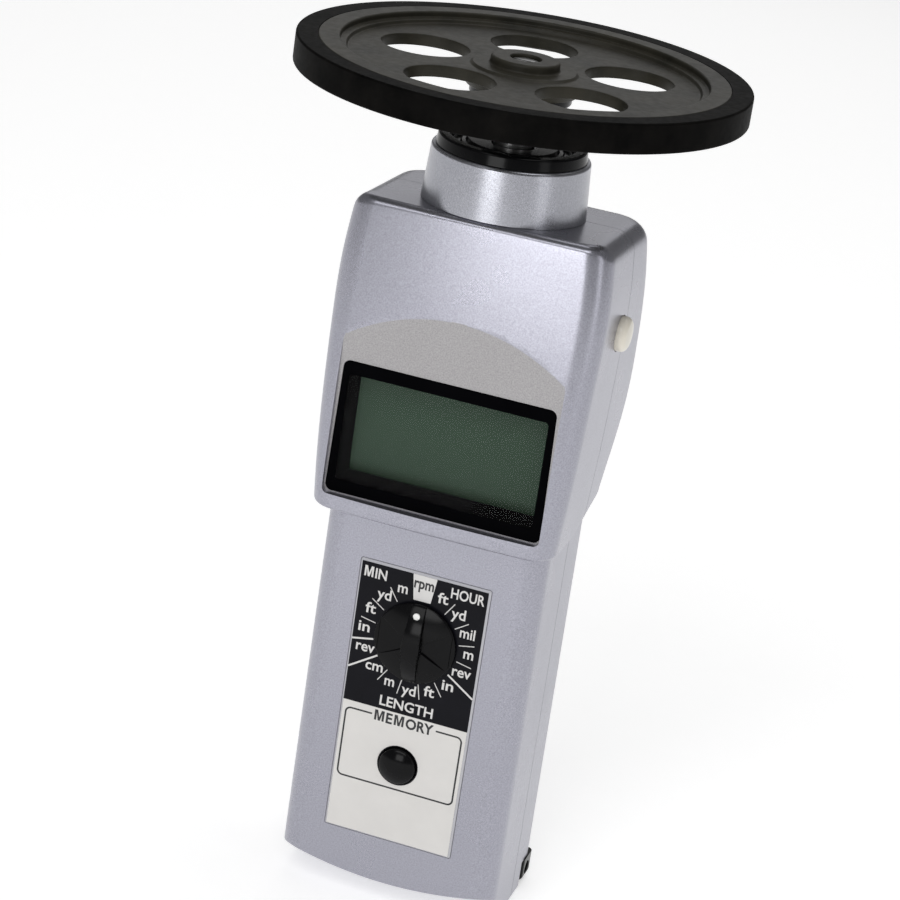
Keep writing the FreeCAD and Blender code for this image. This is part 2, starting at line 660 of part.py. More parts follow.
# ---- spindle and wheel -------------------------------------------------------------------------
def spindle():
    shaft = turned([(0, SHAFT_BOTTOM), (SHAFT_R - 0.3, SHAFT_BOTTOM), (SHAFT_R, SHAFT_BOTTOM + 0.3),
                    (SHAFT_R, CLIP_Z), (SHAFT_R - 0.4, CLIP_Z), (SHAFT_R - 0.4, REAR_BEARING_Z),
                    (SHAFT_R, REAR_BEARING_Z), (SHAFT_R, FRONT_BEARING_Z + BEARING_W),
                    (SHAFT_COLLAR_R, FRONT_BEARING_Z + BEARING_W), (SHAFT_COLLAR_R, 178.6),
                    (SHAFT_R, 179.2), (SHAFT_R, SHAFT_SHOULDER_Z), (SHAFT_TIP_R, SHAFT_SHOULDER_Z),
                    (SHAFT_TIP_R, SHAFT_TOP), (0, SHAFT_TOP)])
    return shaft.cut(rod("z", 1.5, SHAFT_TOP - 8, SHAFT_TOP + 1))


def spindle_clip():
    clip = ring("z", 5.4, SHAFT_R - 0.4, CLIP_Z, REAR_BEARING_Z)
    return clip.cut(block(-1.6, 1.6, 1.0, 8, CLIP_Z - 1, REAR_BEARING_Z + 1))


def wheel_adapter():
    """Flanged sleeve on the spindle that carries the wheel."""
    body = turned([(0, 179.9), (6.1, 179.9), (6.5, 180.3), (6.5, 186.4), (11.0, 187.6),
                   (11.0, WHEEL_BOTTOM), (0, WHEEL_BOTTOM)])
    return body.cut([rod("z", SHAFT_R, 170, SHAFT_SHOULDER_Z), rod("z", SHAFT_TIP_R, 170, 200)])


def wheel_hub():
    rim = turned([(TYRE_IN, WHEEL_BOTTOM + 0.2), (TYRE_IN, WHEEL_TOP), (RIM_IN + 0.5, WHEEL_TOP),
                  (RIM_IN, WHEEL_TOP - 0.5), (RIM_IN, WHEEL_TOP - 1.3), (RIM_IN - 1.4, WHEEL_TOP - 1.5),
                  (RIM_IN - 1.8, WEB_TOP), (12.0, WEB_TOP), (11.2, WEB_TOP + 0.5),
                  (BOSS_R + 0.6, WEB_TOP + 0.5), (BOSS_R, WEB_TOP + 1.0), (BOSS_R, BOSS_TOP - 0.7),
                  (BOSS_R - 0.7, BOSS_TOP), (BOSS_RECESS_R, BOSS_TOP),
                  (BOSS_RECESS_R, BOSS_TOP - BOSS_RECESS), (SHAFT_TIP_R, BOSS_TOP - BOSS_RECESS),
                  (SHAFT_TIP_R, WHEEL_BOTTOM), (12.0, WHEEL_BOTTOM), (12.6, WEB_BOTTOM),
                  (RIM_IN - 1.8, WEB_BOTTOM), (RIM_IN - 1.0, WHEEL_BOTTOM + 0.2)])
    holes = []
    for n in range(HOLES):
        a = math.radians(FIRST_HOLE_DEG - n * 360.0 / HOLES)
        x, y = HOLE_CIRCLE * math.cos(a), HOLE_CIRCLE * math.sin(a)
        holes.append(rod("z", HOLE_R, 180, 200, x, y))
        holes.append(Part.makeCone(HOLE_R, HOLE_R + HOLE_CHAMFER, HOLE_CHAMFER,
                                   Vector(x, y, WEB_TOP - HOLE_CHAMFER)))
    return rim.cut(holes)


def tyre():
    band = ring("z", WHEEL_R, TYRE_IN, WHEEL_BOTTOM, WHEEL_TOP)
    edges = [e for e in band.Edges
             if e.BoundBox.ZLength < 1e-6 and e.BoundBox.XLength > 2 * WHEEL_R - 1]
    return band.makeFillet(TYRE_EDGE, edges)


def hub_screw():
    seat = BOSS_TOP - BOSS_RECESS
    head = rod("z", 2.9, seat, seat + 1.5)
    shank = rod("z", 1.5, SHAFT_TOP - 7, seat)
    slot = block(-3.2, 3.2, -0.4, 0.4, seat + 0.7, seat + 2)
    return joined([head, shank]).cut(slot)


def encoder_hub():
    return ring("z", 4.6, SHAFT_R, 142.0, 145.6)


def encoder_disc():
    disc = ring("z", 11.0, SHAFT_R, 145.6, 146.2)
    slots = []
    for n in range(12):
        slot = block(7.4, 10.2, -0.7, 0.7, 145, 147)
        slot.rotate(Vector(0, 0, 0), Vector(0, 0, 1), n * 30.0)
        slots.append(slot)
    return disc.cut(slots)


def optical_sensor():
    """Slotted sensor that straddles the rim of the encoder disc."""
    body = block(6.8, 14.3, -3, 3, 141.6, 149.2)
    return body.cut([block(0, 12.0, -5, 5, 144.4, 147.4), block(0, 7.4, -5, 5, 140, 144.4)])


def sensor_board():
    return block(14.3, 15.9, -7.2, 7.0, MEASURE_Z - 4.5, MEASURE_Z + 6.9)


# ---- electronics and battery -------------------------------------------------------------------
def main_board():
    low = block(-BOARD_HALF_LOW, BOARD_HALF_LOW, BOARD_FRONT, BOARD_BACK, BOARD_BOTTOM, BOARD_STEP)
    high = block(-BOARD_HALF_HIGH, BOARD_HALF_HIGH, BOARD_FRONT, BOARD_BACK, BOARD_STEP, BOARD_TOP)
    holes = [rod("y", 1.0, -20, 0, side * x, z) for x, z in BOARD_POSTS for side in (-1, 1)]
    return joined([low, high]).cut(holes)


def circuit_chips():
    places = ((0.0, 112.0, 7.0, 7.0, 1.8), (-14.0, 104.0, 3.0, 5.0, 1.4), (14.0, 118.0, 3.0, 4.0, 1.4),
              (11.0, 88.0, 2.2, 3.4, 1.4), (-9.0, 88.0, 2.2, 5.0, 3.2))
    chips = [block(x - w, x + w, BOARD_BACK, BOARD_BACK + d, z - h, z + h) for x, z, w, h, d in places]
    return Part.makeCompound(chips)


def board_screws():
    screws = []
    for x, z in BOARD_POSTS:
        for side in (-1, 1):
            head = rod("y", 1.8, BOARD_BACK, BOARD_BACK + 1.1, side * x, z)
            shank = rod("y", 1.0, -13.0, BOARD_BACK, side * x, z)
            slot = block(side * x - 1.3, side * x + 1.3, BOARD_BACK + 0.5, 0, z - 0.25, z + 0.25)
            screws.append(joined([head, shank]).cut(slot))
    return Part.makeCompound(screws)


def battery_tray():
    outer = block(-TRAY_HALF, TRAY_HALF, TRAY_FRONT, TRAY_BACK, TRAY_BOTTOM, TRAY_TOP)
    inner = block(-TRAY_HALF + TRAY_WALL, TRAY_HALF - TRAY_WALL, TRAY_FRONT + TRAY_END, TRAY_BACK + 1,
                  TRAY_BOTTOM + TRAY_END, TRAY_TOP - TRAY_END)
    divider = block(-0.5, 0.5, TRAY_FRONT + TRAY_END, 1.0, TRAY_BOTTOM + TRAY_END, TRAY_TOP - TRAY_END)
    return joined([outer.cut(inner), divider])


def cell(x, up):
    low = rod("z", CELL_R, 0, CELL_LENGTH)
    rims = [e for e in low.Edges if e.BoundBox.ZLength < 1e-6]
    body = joined([low.makeFillet(0.6, rims), rod("z", 2.7, CELL_LENGTH - 0.1, CELL_LENGTH + 1.2)])
    if not up:
        body.rotate(Vector(0, 0, (CELL_LENGTH + 1.2) / 2), Vector(1, 0, 0), 180)
    floor = TRAY_BOTTOM + TRAY_END + CONTACT
    body.translate(Vector(x, CELL_Y, floor + SPRING_H if up else floor))
    return body


def battery_cells():
    return Part.makeCompound([cell(-CELL_X, True), cell(CELL_X, False)])


def coil(x, z):
    """Contact spring between a terminal plate and a cell."""
    height = SPRING_H - 2 * SPRING_WIRE_R - 0.1
    path = Part.makeLongHelix(height / SPRING_TURNS, height, SPRING_R, 0)
    ring_face = Part.Wire(Part.Circle(Vector(SPRING_R, 0, 0), Vector(0, 1, 0), SPRING_WIRE_R).toShape())
    spring = Part.Wire(path).makePipeShell([ring_face], True, True)
    spring.translate(Vector(x, CELL_Y, z + SPRING_WIRE_R + 0.05))
    return spring


def battery_springs():
    low = TRAY_BOTTOM + TRAY_END + CONTACT
    high = TRAY_TOP - TRAY_END - CONTACT - SPRING_H
    return Part.makeCompound([coil(-CELL_X, low), coil(CELL_X, high)])


def battery_contacts():
    plates = []
    for x in (-CELL_X, CELL_X):
        for z in (TRAY_BOTTOM + TRAY_END, TRAY_TOP - TRAY_END - CONTACT):
            plates.append(block(x - 5.5, x + 5.5, CELL_Y - 5.5, CELL_Y + 5.5, z, z + CONTACT))
    return Part.makeCompound(plates)


def battery_door():
    """Cover that slides down and off; its side tongues run behind the casing wall."""
    panel = block(-DOOR_HALF, DOOR_HALF, 15.0, DOOR_BACK, NOTCH_Z, DOOR_TOP)
    tongue = block(-DOOR_HALF - 1.0, DOOR_HALF + 1.0, 13.5, 14.8, NOTCH_Z, DOOR_TOP + 2.2)
    web = block(-DOOR_HALF, DOOR_HALF, 14.8, 15.0, NOTCH_Z, DOOR_TOP)
    ribs = [block(-7, 7, DOOR_BACK, DOOR_BACK + 0.6, 58 + 3 * n, 59.2 + 3 * n) for n in range(4)]
    return joined([panel, tongue, web] + ribs)


def strap_lug():
    """Block with a cross hole for a wrist cord, held by a stem through the rear casing."""
    body = block(17.8, 26.3, 9.2, 16.8, 0.9, NOTCH_Z)
    upright = [e for e in body.Edges if e.BoundBox.ZLength > 5]
    body = body.makeFillet(1.5, upright)
    low = [e for e in body.Edges if e.BoundBox.ZMax < 0.95]
    body = body.makeFillet(1.3, low)
    stem = rod("z", 1.8, NOTCH_Z - 0.5, FOOT_Z, 21.8, 13.0)
    return joined([body, stem]).cut(rod("x", 1.5, 10, 30, 13.0, 3.6))


# ---- export ------------------------------------------------------------------------------------
def build():
    outer = casing_outer()
    cavity = casing_cavity()
    parts = {
        "front_casing": front_casing(outer, cavity),
        "rear_casing": rear_casing(outer, cavity),
        "rear_bearing_outer_ring": bearing_outer(REAR_BEARING_Z),
        "rear_bearing_inner_ring": bearing_inner(REAR_BEARING_Z),
        "rear_bearing_balls": bearing_balls(REAR_BEARING_Z),
        "front_bearing_outer_ring": bearing_outer(FRONT_BEARING_Z),
        "front_bearing_inner_ring": bearing_inner(FRONT_BEARING_Z),
        "front_bearing_balls": bearing_balls(FRONT_BEARING_Z),
    }
    simple = (casing_screws, lcd_bezel, lcd_window, lcd_glass, lcd_reflector, zebra_strips, label_plate,
              mode_knob, knob_dot, rotary_switch, switch_shaft, memory_button, memory_switch,
              memory_plunger, measure_button, measure_switch, measure_plunger, measure_board,
              neck_collar, bearing_housing, bearing_spacer, dust_seal, bearing_cap, spindle,
              spindle_clip, wheel_adapter, wheel_hub, tyre, hub_screw, encoder_hub, encoder_disc,
              optical_sensor, sensor_board, main_board, circuit_chips, board_screws, battery_tray,
              battery_cells, battery_springs, battery_contacts, battery_door, strap_lug)
    for make in simple:
        parts[make.__name__] = make()
    return parts


os.makedirs("parts", exist_ok=True)
for name, shape in build().items():
    shape.exportStep("parts/" + name + ".step")
    print(f"{name:28s} solids {len(shape.Solids):2d} valid {shape.isValid()} {shape.Volume:10.1f} mm3")
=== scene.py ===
"""Looks of a hand-held contact tachometer with a measuring wheel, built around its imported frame."""
import json
import math

import bmesh
import bpy
import numpy as np
from mathutils import Matrix, Vector


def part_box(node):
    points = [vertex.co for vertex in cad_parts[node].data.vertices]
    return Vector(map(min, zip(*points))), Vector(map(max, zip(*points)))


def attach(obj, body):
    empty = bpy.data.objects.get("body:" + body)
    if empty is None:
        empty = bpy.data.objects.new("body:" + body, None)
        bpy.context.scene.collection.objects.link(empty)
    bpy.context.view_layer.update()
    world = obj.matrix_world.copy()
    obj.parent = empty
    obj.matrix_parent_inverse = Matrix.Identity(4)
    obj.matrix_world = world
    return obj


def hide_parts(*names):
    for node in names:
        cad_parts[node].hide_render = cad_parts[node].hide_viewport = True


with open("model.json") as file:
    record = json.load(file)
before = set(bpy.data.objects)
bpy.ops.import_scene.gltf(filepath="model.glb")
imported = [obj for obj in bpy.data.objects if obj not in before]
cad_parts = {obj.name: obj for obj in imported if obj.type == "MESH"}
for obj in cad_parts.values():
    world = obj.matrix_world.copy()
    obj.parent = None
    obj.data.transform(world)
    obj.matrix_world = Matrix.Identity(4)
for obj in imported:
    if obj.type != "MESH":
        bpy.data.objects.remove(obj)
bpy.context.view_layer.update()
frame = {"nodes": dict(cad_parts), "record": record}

MM = 0.001


def mm_box(node):
    """Lowest and highest corner of a CAD node, in millimetres."""
    low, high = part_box(node)
    return low / MM, high / MM


# ---- mesh helpers: all lengths in millimetres, made into metres on the way into Blender ----
def placed(name, data):
    """New object with the given data, linked into the scene."""
    obj = bpy.data.objects.new(name, data)
    bpy.context.scene.collection.objects.link(obj)
    return obj


def final_mesh(obj):
    """Copy of an object's mesh with its modifiers or its text applied."""
    bpy.context.view_layer.update()
    return bpy.data.meshes.new_from_object(obj.evaluated_get(bpy.context.evaluated_depsgraph_get()))


def new_object(name, verts, faces):
    mesh = bpy.data.meshes.new(name)
    mesh.from_pydata([tuple(c * MM for c in v) for v in verts], [], faces)
    clean = bmesh.new()
    clean.from_mesh(mesh)
    bmesh.ops.remove_doubles(clean, verts=clean.verts, dist=1e-7)
    bmesh.ops.recalc_face_normals(clean, faces=clean.faces)
    clean.to_mesh(mesh)
    clean.free()
    obj = placed(name, mesh)
    shade(obj, 30)
    return obj


def shade(obj, smooth_deg):
    """Smooth shading with sharp edges past an angle; weighted normals keep the flats flat."""
    obj.data.shade_smooth()
    obj.data.set_sharp_from_angle(angle=math.radians(smooth_deg))
    if "flats" not in obj.modifiers:
        weigh = obj.modifiers.new("flats", "WEIGHTED_NORMAL")
        weigh.keep_sharp = True


def skin(rings, closed=False, caps=True):
    """Verts and faces through rings of equal length; closed joins the last ring to the first."""
    n = len(rings[0])
    verts = [tuple(p) for ring in rings for p in ring]
    faces = []
    for i in range(len(rings) if closed else len(rings) - 1):
        a, b = i * n, ((i + 1) % len(rings)) * n
        faces += [(a + k, a + (k + 1) % n, b + (k + 1) % n, b + k) for k in range(n)]
    if caps and not closed:
        faces += [tuple(range(n)), tuple(range((len(rings) - 1) * n, len(rings) * n))]
    return verts, faces


def soften(corners, steps=5):
    """Closed outline with round corners, from (u, v, radius) corners."""
    out = []
    for i, (u, v, radius) in enumerate(corners):
        here = Vector((u, v))
        before = Vector(corners[i - 1][:2]) - here
        after = Vector(corners[(i + 1) % len(corners)][:2]) - here
        if radius <= 0:
            out.append((u, v))
            continue
        half = before.angle(after) / 2
        reach = radius / math.tan(half)
        centre = here + (before.normalized() + after.normalized()).normalized() * radius / math.sin(half)
        start, end = here + before.normalized() * reach - centre, here + after.normalized() * reach - centre
        turn = start.angle_signed(end)
        for k in range(steps + 1):
            spin = Matrix.Rotation(-turn * k / steps, 2)
            out.append(tuple(centre + spin @ start))
    return out


def lathe(profile, segments):
    """Closed turned solid about Z; profile is a closed list of (radius, height)."""
    angles = [2 * math.pi * k / segments for k in range(segments)]
    rings = [[(r * math.cos(a), r * math.sin(a), z) for a in angles] for r, z in profile]
    return skin(rings, closed=True)


def rect_loop(half0, half1, z0, z1, r, inset):
    """Round-cornered outline in X-Z, half0 wide at z0 and half1 wide at z1, as (x, z) points."""
    half0, half1, z0, z1 = half0 - inset, half1 - inset, z0 + inset, z1 - inset
    r = max(r - inset, 0.02)
    return soften([(-half0, z0, r), (half0, z0, r), (half1, z1, r), (-half1, z1, r)], 8)


def front_ring(size, y, inset=0.0):
    """Ring on the plane y from the outline rect_loop gives for size."""
    return [(x, y, z) for x, z in rect_loop(*size, inset)]


def front_solid(name, size, near, far, inset=0.0):
    """Straight solid between two y planes."""
    return new_object(name, *skin([front_ring(size, y, inset) for y in (near, far)]))


def grid_faces(rows, columns):
    return [(i * columns + k, i * columns + k + 1, (i + 1) * columns + k + 1, (i + 1) * columns + k)
            for i in range(rows - 1) for k in range(columns - 1)]


def carve(obj, tools, operation="DIFFERENCE"):
    """Applies one exact boolean per tool and throws the tools away."""
    obj.modifiers.clear()
    for tool in tools:
        tool.modifiers.clear()
        cut = obj.modifiers.new("cut", "BOOLEAN")
        cut.operation, cut.solver, cut.object = operation, "EXACT", tool
        done = final_mesh(obj)
        obj.modifiers.clear()
        obj.data = done
        bpy.data.objects.remove(tool)
    return obj


def brick(x0, x1, y0, y1, z0, z1):
    ring = [(x0, y0), (x1, y0), (x1, y1), (x0, y1)]
    return new_object("tool", *skin([[(x, y, z0) for x, y in ring], [(x, y, z1) for x, y in ring]]))


def prism(points, x0, x1):
    """Solid between two X planes from a Y-Z outline."""
    return new_object("tool", *skin([[(x0, y, z) for y, z in points], [(x1, y, z) for y, z in points]]))


def plug(axis, profile, centre, segments=64):
    """Turned cutter or pin about a line along x, y or z; profile is a closed (radius, distance) list."""
    verts, faces = lathe(profile, segments)
    order = {"x": (2, 0, 1), "y": (1, 2, 0), "z": (0, 1, 2)}[axis]
    verts = [tuple(v[i] + q for i, q in zip(order, centre)) for v in verts]
    return new_object("tool", verts, faces)


def solid_disc(r, low, high):
    """Profile of a full cylinder."""
    return [(0, low), (r, low), (r, high), (0, high)]


def flared_disc(r, low, high, flare):
    """Profile of a cutter for a hole whose two edges are rounded."""
    part, past, wide = 0.3 * flare, 3, r + flare + 3
    return [(0, low - past), (wide, low - past), (r + flare, low), (r + part, low + part),
            (r, low + flare), (r, high - flare), (r + part, high - part),
            (r + flare, high), (wide, high + past), (0, high + past)]


# ---- casing shape ----
WALL = 2.2
PARTING_Y = 3.0
SEAM = 0.075
HEAD_STATIONS = np.array((  # height, half width, front y, back y
    (94.3, 27.9, -22.8, 18.0),
    (102.6, 28.5, -22.8, 19.4),
    (110.6, 29.0, -22.5, 22.8),
    (120.6, 29.45, -22.0, 26.2),
    (135.0, 29.9, -20.95, 25.4),
    (150.6, 29.95, -19.4, 22.2),
    (164.1, 28.7, -17.9, 19.7),
))
HEAD_LOW_Z, HEAD_TOP_Z = HEAD_STATIONS[0, 0], HEAD_STATIONS[-1, 0]
HEAD_CROWN_R = 405.0
HEAD_FRONT_R = 6.0
HEAD_BACK_R = 8.0
HEAD_TOP_SLOPE = 0.037  # how fast the top drops from the front edge to the back
HEAD_TOP_R = 1.5  # round edge along the front
HEAD_SHOULDER_R = 4.2  # round edge along the sides and the back
LIP_R = 0.9
LIP_SLOPE_Y = -4.0
LIP_BACK = (26.0, 105.0)  # y and height of a far point on the head's sloping lower edge
GRIP_HALF = (26.0, 25.5)  # at the foot and at GRIP_TOP
GRIP_FRONT = -16.65
GRIP_BACK = 17.3
GRIP_FRONT_R = 6.0
GRIP_BACK_R = 5.0
GRIP_TOP = 107.0
FOOT_EDGE = 5.6
FOOT_RISE = 2.7
FOOT_RISE_X = 22.0
FOOT_PLAIN = 12.0  # the grip's section starts to narrow above this height
NOTCH_Y = 8.6
NOTCH_Z = 6.8
FLOOR_Z = 8.8
NECK_HOLE_R = 14.5
BEZEL_PROUD = 0.3  # the bezel's front stands this far out of its pocket
BEZEL_TAPER = 0.7  # the bezel is this much narrower at the top, on each side
BEZEL_CORNER_R = 1.5
POCKET_HALF = 24.95
POCKET_CORNER_R = 1.2
POCKET_GAP = 0.3  # between the bezel's lower edge and the pocket's
LABEL_CORNER_R = 0.4
KNOB_HOLE_R = 3.9
MEMORY_R = 4.3
MEMORY_HOLE_R = MEMORY_R + 0.3
MEASURE_R = 3.9
MEASURE_HOLE_R = MEASURE_R + 0.2
CASING_SCREWS = ((20.3, 14.0, 10.0), (21.6, 152.6, 13.0))  # x, height, seat
SCREW_WELL_R = 2.7
SCREW_POST_R = 3.4
SCREW_POST_END = 16.0
DOOR_SEAT_Y = 13.2
DOOR_TONGUE = 1.0  # how far each side tongue of the cover reaches past its panel
DOOR_LATCH = 2.2  # how far the top tongue reaches past the panel
DOOR_GAP = 0.3
REACH = 40  # cutters reach this far across the casing
FAR = 60  # and these past all of it
FAR_Z = (-20, 220)
FRONT_CUT = (-30, -13)  # y span of a cutter through the front wall
SIDE_CUT = (24, 40)  # x span of a cutter through the right wall


def natural_spline(x, y, at):
    """Natural cubic spline through (x, y), read at one place."""
    n, h = len(x), np.diff(x)
    a, b = np.eye(n), np.zeros(n)
    for i in range(1, n - 1):
        a[i, i - 1:i + 2] = h[i - 1], 2 * (h[i - 1] + h[i]), h[i]
        b[i] = 6 * ((y[i + 1] - y[i]) / h[i] - (y[i] - y[i - 1]) / h[i - 1])
    m = np.linalg.solve(a, b)
    i = int(np.clip(np.searchsorted(x, at) - 1, 0, n - 2))
    t, s = at - x[i], x[i + 1] - at
    return ((m[i] * s ** 3 + m[i + 1] * t ** 3) / (6 * h[i])
            + (y[i] / h[i] - m[i] * h[i] / 6) * s + (y[i + 1] / h[i] - m[i + 1] * h[i] / 6) * t)


def arc(centre, radius, a0, a1, steps):
    angles = [math.radians(a0 + (a1 - a0) * k / steps) for k in range(steps + 1)]
    return [(centre[0] + radius * math.cos(a), centre[1] + radius * math.sin(a)) for a in angles]


def outline(half, front, back, front_r, back_r, crown_r, inset):
    """Right half of a level section, from the front centre round to the back centre, as (x, y)."""
    half, front, back = half - inset, front + inset, back - inset
    front_r, back_r = max(front_r - inset, 0.05), max(back_r - inset, 0.05)
    a = half - front_r
    sag = a * a / (2 * crown_r) if crown_r else 0.0
    points = [(a * t, front + sag * t * t) for t in np.linspace(0, 1, 15)[:-1]]
    points += arc((a, front + sag + front_r), front_r, -90, 0, 12)
    side0, side1 = front + sag + front_r, back - back_r
    points += [(half, side0 + (side1 - side0) * t) for t in np.linspace(0, 1, 11)[1:-1]]
    points += arc((half - back_r, back - back_r), back_r, 0, 90, 12)
    points += [((half - back_r) * (1 - t), back) for t in np.linspace(0, 1, 9)[1:]]
    return points


def whole_ring(half_points):
    """Full ring from a right half: up the right side to the back, then down the left."""
    return half_points + [(-p[0],) + tuple(p[1:]) for p in half_points[-2:0:-1]]


def mirror_cap(n, base):
    """Faces that close a mirrored ring of n points with strips across the middle."""
    half = n // 2
    faces = [(base, base + 1, base + n - 1), (base + half, base + half + 1, base + half - 1)]
    faces += [(base + k, base + k + 1, base + n - k - 1, base + n - k) for k in range(1, half - 1)]
    return faces


def head_at(z, inset):
    """Right half of the head's level section at height z."""
    z = min(max(z, HEAD_LOW_Z), HEAD_TOP_Z)
    half, front, back = (natural_spline(HEAD_STATIONS[:, 0], HEAD_STATIONS[:, c], z) for c in (1, 2, 3))
    return outline(half, front, back, HEAD_FRONT_R, HEAD_BACK_R, HEAD_CROWN_R, inset)


def rounding(radius, steps=6):
    """(inset, drop from the edge plane) pairs round a quarter circle, from the flat to the wall."""
    angles = [math.pi / 2 * k / steps for k in range(steps + 1)]
    return [(radius - radius * math.sin(a), radius - radius * math.cos(a)) for a in angles]


def top_z(y):
    """Height of the head's sloping top."""
    return HEAD_TOP_Z - HEAD_TOP_SLOPE * (y - HEAD_STATIONS[-1, 2])


def lip_z(y):
    """Height of the head's lower edge, which climbs towards the back."""
    y_far, z_far = LIP_BACK
    climb = max(0.0, (y - LIP_SLOPE_Y) / (y_far - LIP_SLOPE_Y))
    return HEAD_LOW_Z + climb * (z_far - HEAD_LOW_Z)


def shoulder_r(y):
    """Radius of the top's round edge, growing round the front corners."""
    share = min(1.0, max(0.0, (y - HEAD_STATIONS[-1, 2]) / HEAD_FRONT_R))
    return HEAD_TOP_R + (HEAD_SHOULDER_R - HEAD_TOP_R) * share


def head_column(k, wall):
    """One line of points up the head's wall and over its round top edge, at ring position k."""
    def at(z, inset):
        return head_at(z, inset + wall)[k]

    y_top = at(HEAD_TOP_Z, 0.0)[1]
    top = top_z(y_top) - wall
    radius = 0.0 if wall else shoulder_r(y_top)
    bottom = lip_z(at(HEAD_LOW_Z, 0.0)[1]) + wall
    column = [] if wall else [(*at(bottom, i), bottom + d) for i, d in rounding(LIP_R)[:-1]]
    low = bottom + (0.0 if wall else LIP_R)
    column += [(*at(z, 0.0), z) for z in np.linspace(low, top - radius, 44)]
    if not wall:
        for inset, drop in reversed(rounding(radius, 8)[:-1]):
            x, y = at(top - drop, inset)
            column.append((x, y, top_z(y) - drop))
    return column


def head_solid(name, wall=0.0):
    """The head, or with a wall its cavity."""
    columns = [head_column(k, wall) for k in range(len(head_at(100.0, 0.0)))]
    rings = [whole_ring(list(ring)) for ring in zip(*columns)]
    n = len(rings[0])
    verts, faces = skin(rings, caps=False)
    faces += mirror_cap(n, 0) + mirror_cap(n, (len(rings) - 1) * n)
    return new_object(name, verts, faces)


def foot_z(x, y):
    """Height of the casing's underside, before the step is cut."""
    edge = FOOT_EDGE + FOOT_RISE * (x / FOOT_RISE_X) ** 2
    return edge * y / GRIP_FRONT if y < 0 else 0.0


def grip_solid(name):
    """The grip, its foot crowned from side to side and stepped up at the back."""
    def half(z):
        return GRIP_HALF[0] + (GRIP_HALF[1] - GRIP_HALF[0]) * z / GRIP_TOP

    def ring(z_of, inset):
        flat = outline(half(0.0), GRIP_FRONT, GRIP_BACK, GRIP_FRONT_R, GRIP_BACK_R, None, inset)
        points = []
        for x, y in flat:
            z = z_of(x, y)
            points.append((x * half(max(z, FOOT_PLAIN)) / half(FOOT_PLAIN), y, z))
        return whole_ring(points)

    rings = [ring(lambda x, y, d=d: foot_z(x, y) + d, i) for i, d in rounding(0.7, 4)]
    rings += [ring(lambda x, y, z=z: z, 0.0) for z in np.linspace(FOOT_PLAIN, GRIP_TOP, 20)]
    n = len(rings[0])
    verts, faces = skin(rings, caps=False)
    faces += mirror_cap(n, (len(rings) - 1) * n)
    across = 24  # the underside is a grid this many faces wide
    rows = n // 2 + 1
    base = len(verts)
    for k in range(rows):
        x, y, _ = rings[0][k]
        line = [x * (1 - 2 * j / across) for j in range(across + 1)]
        verts += [(u, y, foot_z(u, y)) for u in line]
    faces += [tuple(base + i for i in f) for f in grid_faces(rows, across + 1)]
    body = new_object(name, verts, faces)
    return carve(body, [brick(-REACH, REACH, NOTCH_Y, REACH, -5, NOTCH_Z)])


def casing_solids():
    """The whole outer casing and the whole cavity, before they are parted."""
    outer = carve(head_solid("outer"), [grip_solid("tool")], "UNION")
    cavity = head_solid("cavity", WALL)
    flat = outline(GRIP_HALF[1], GRIP_FRONT, GRIP_BACK, GRIP_FRONT_R, GRIP_BACK_R, None, WALL)
    rings = [whole_ring([(x, y, z) for x, y in flat]) for z in (FLOOR_Z, GRIP_TOP + 3)]
    bay = new_object("tool", *skin(rings))
    front_wall = brick(-REACH, REACH, -REACH, pocket_y() + WALL - 0.2, 60, 200)
    return outer, carve(carve(cavity, [front_wall]), [bay], "UNION")


def pocket_y():
    return mm_box("lcd_bezel")[0].y + BEZEL_PROUD


def node_mid_z(name):
    low, high = mm_box(name)
    return (low.z + high.z) / 2


def neck_hole():
    return plug("z", solid_disc(NECK_HOLE_R, HEAD_TOP_Z - 5, HEAD_TOP_Z + 5), (0, 0, 0))


def panel_holes():
    """Cutters for the switch shaft and the memory key."""
    return [plug("y", solid_disc(KNOB_HOLE_R, *FRONT_CUT), (0, 0, node_mid_z("mode_knob"))),
            plug("y", solid_disc(MEMORY_HOLE_R, *FRONT_CUT), (0, 0, node_mid_z("memory_button")))]


def front_casing(outer, cavity):
    casing = carve(placed("front_casing_skin", outer.data.copy()), [placed("tool", cavity.data.copy())])
    carve(casing, [brick(-FAR, FAR, PARTING_Y - SEAM, FAR, *FAR_Z)])
    low, high = mm_box("lcd_bezel")
    label_low, label_high = mm_box("label_plate")
    button_low, button_high = mm_box("measure_button")
    pocket = (POCKET_HALF, POCKET_HALF, low.z - POCKET_GAP, HEAD_TOP_Z - 3, POCKET_CORNER_R)
    opening = (high.x, high.x - BEZEL_TAPER, low.z, high.z, BEZEL_CORNER_R)
    recess = (label_high.x, label_high.x, label_low.z, label_high.z, LABEL_CORNER_R)
    button = (0, (button_low.y + button_high.y) / 2, (button_low.z + button_high.z) / 2)
    tools = [front_solid("tool", pocket, -REACH, pocket_y()),
             front_solid("tool", opening, FRONT_CUT[0], high.y + 1, -0.1),
             front_solid("tool", recess, FRONT_CUT[0], label_high.y, -0.15)]
    tools += panel_holes()
    tools += [plug("x", solid_disc(MEASURE_HOLE_R, *SIDE_CUT), button), neck_hole()]
    return carve(casing, tools)


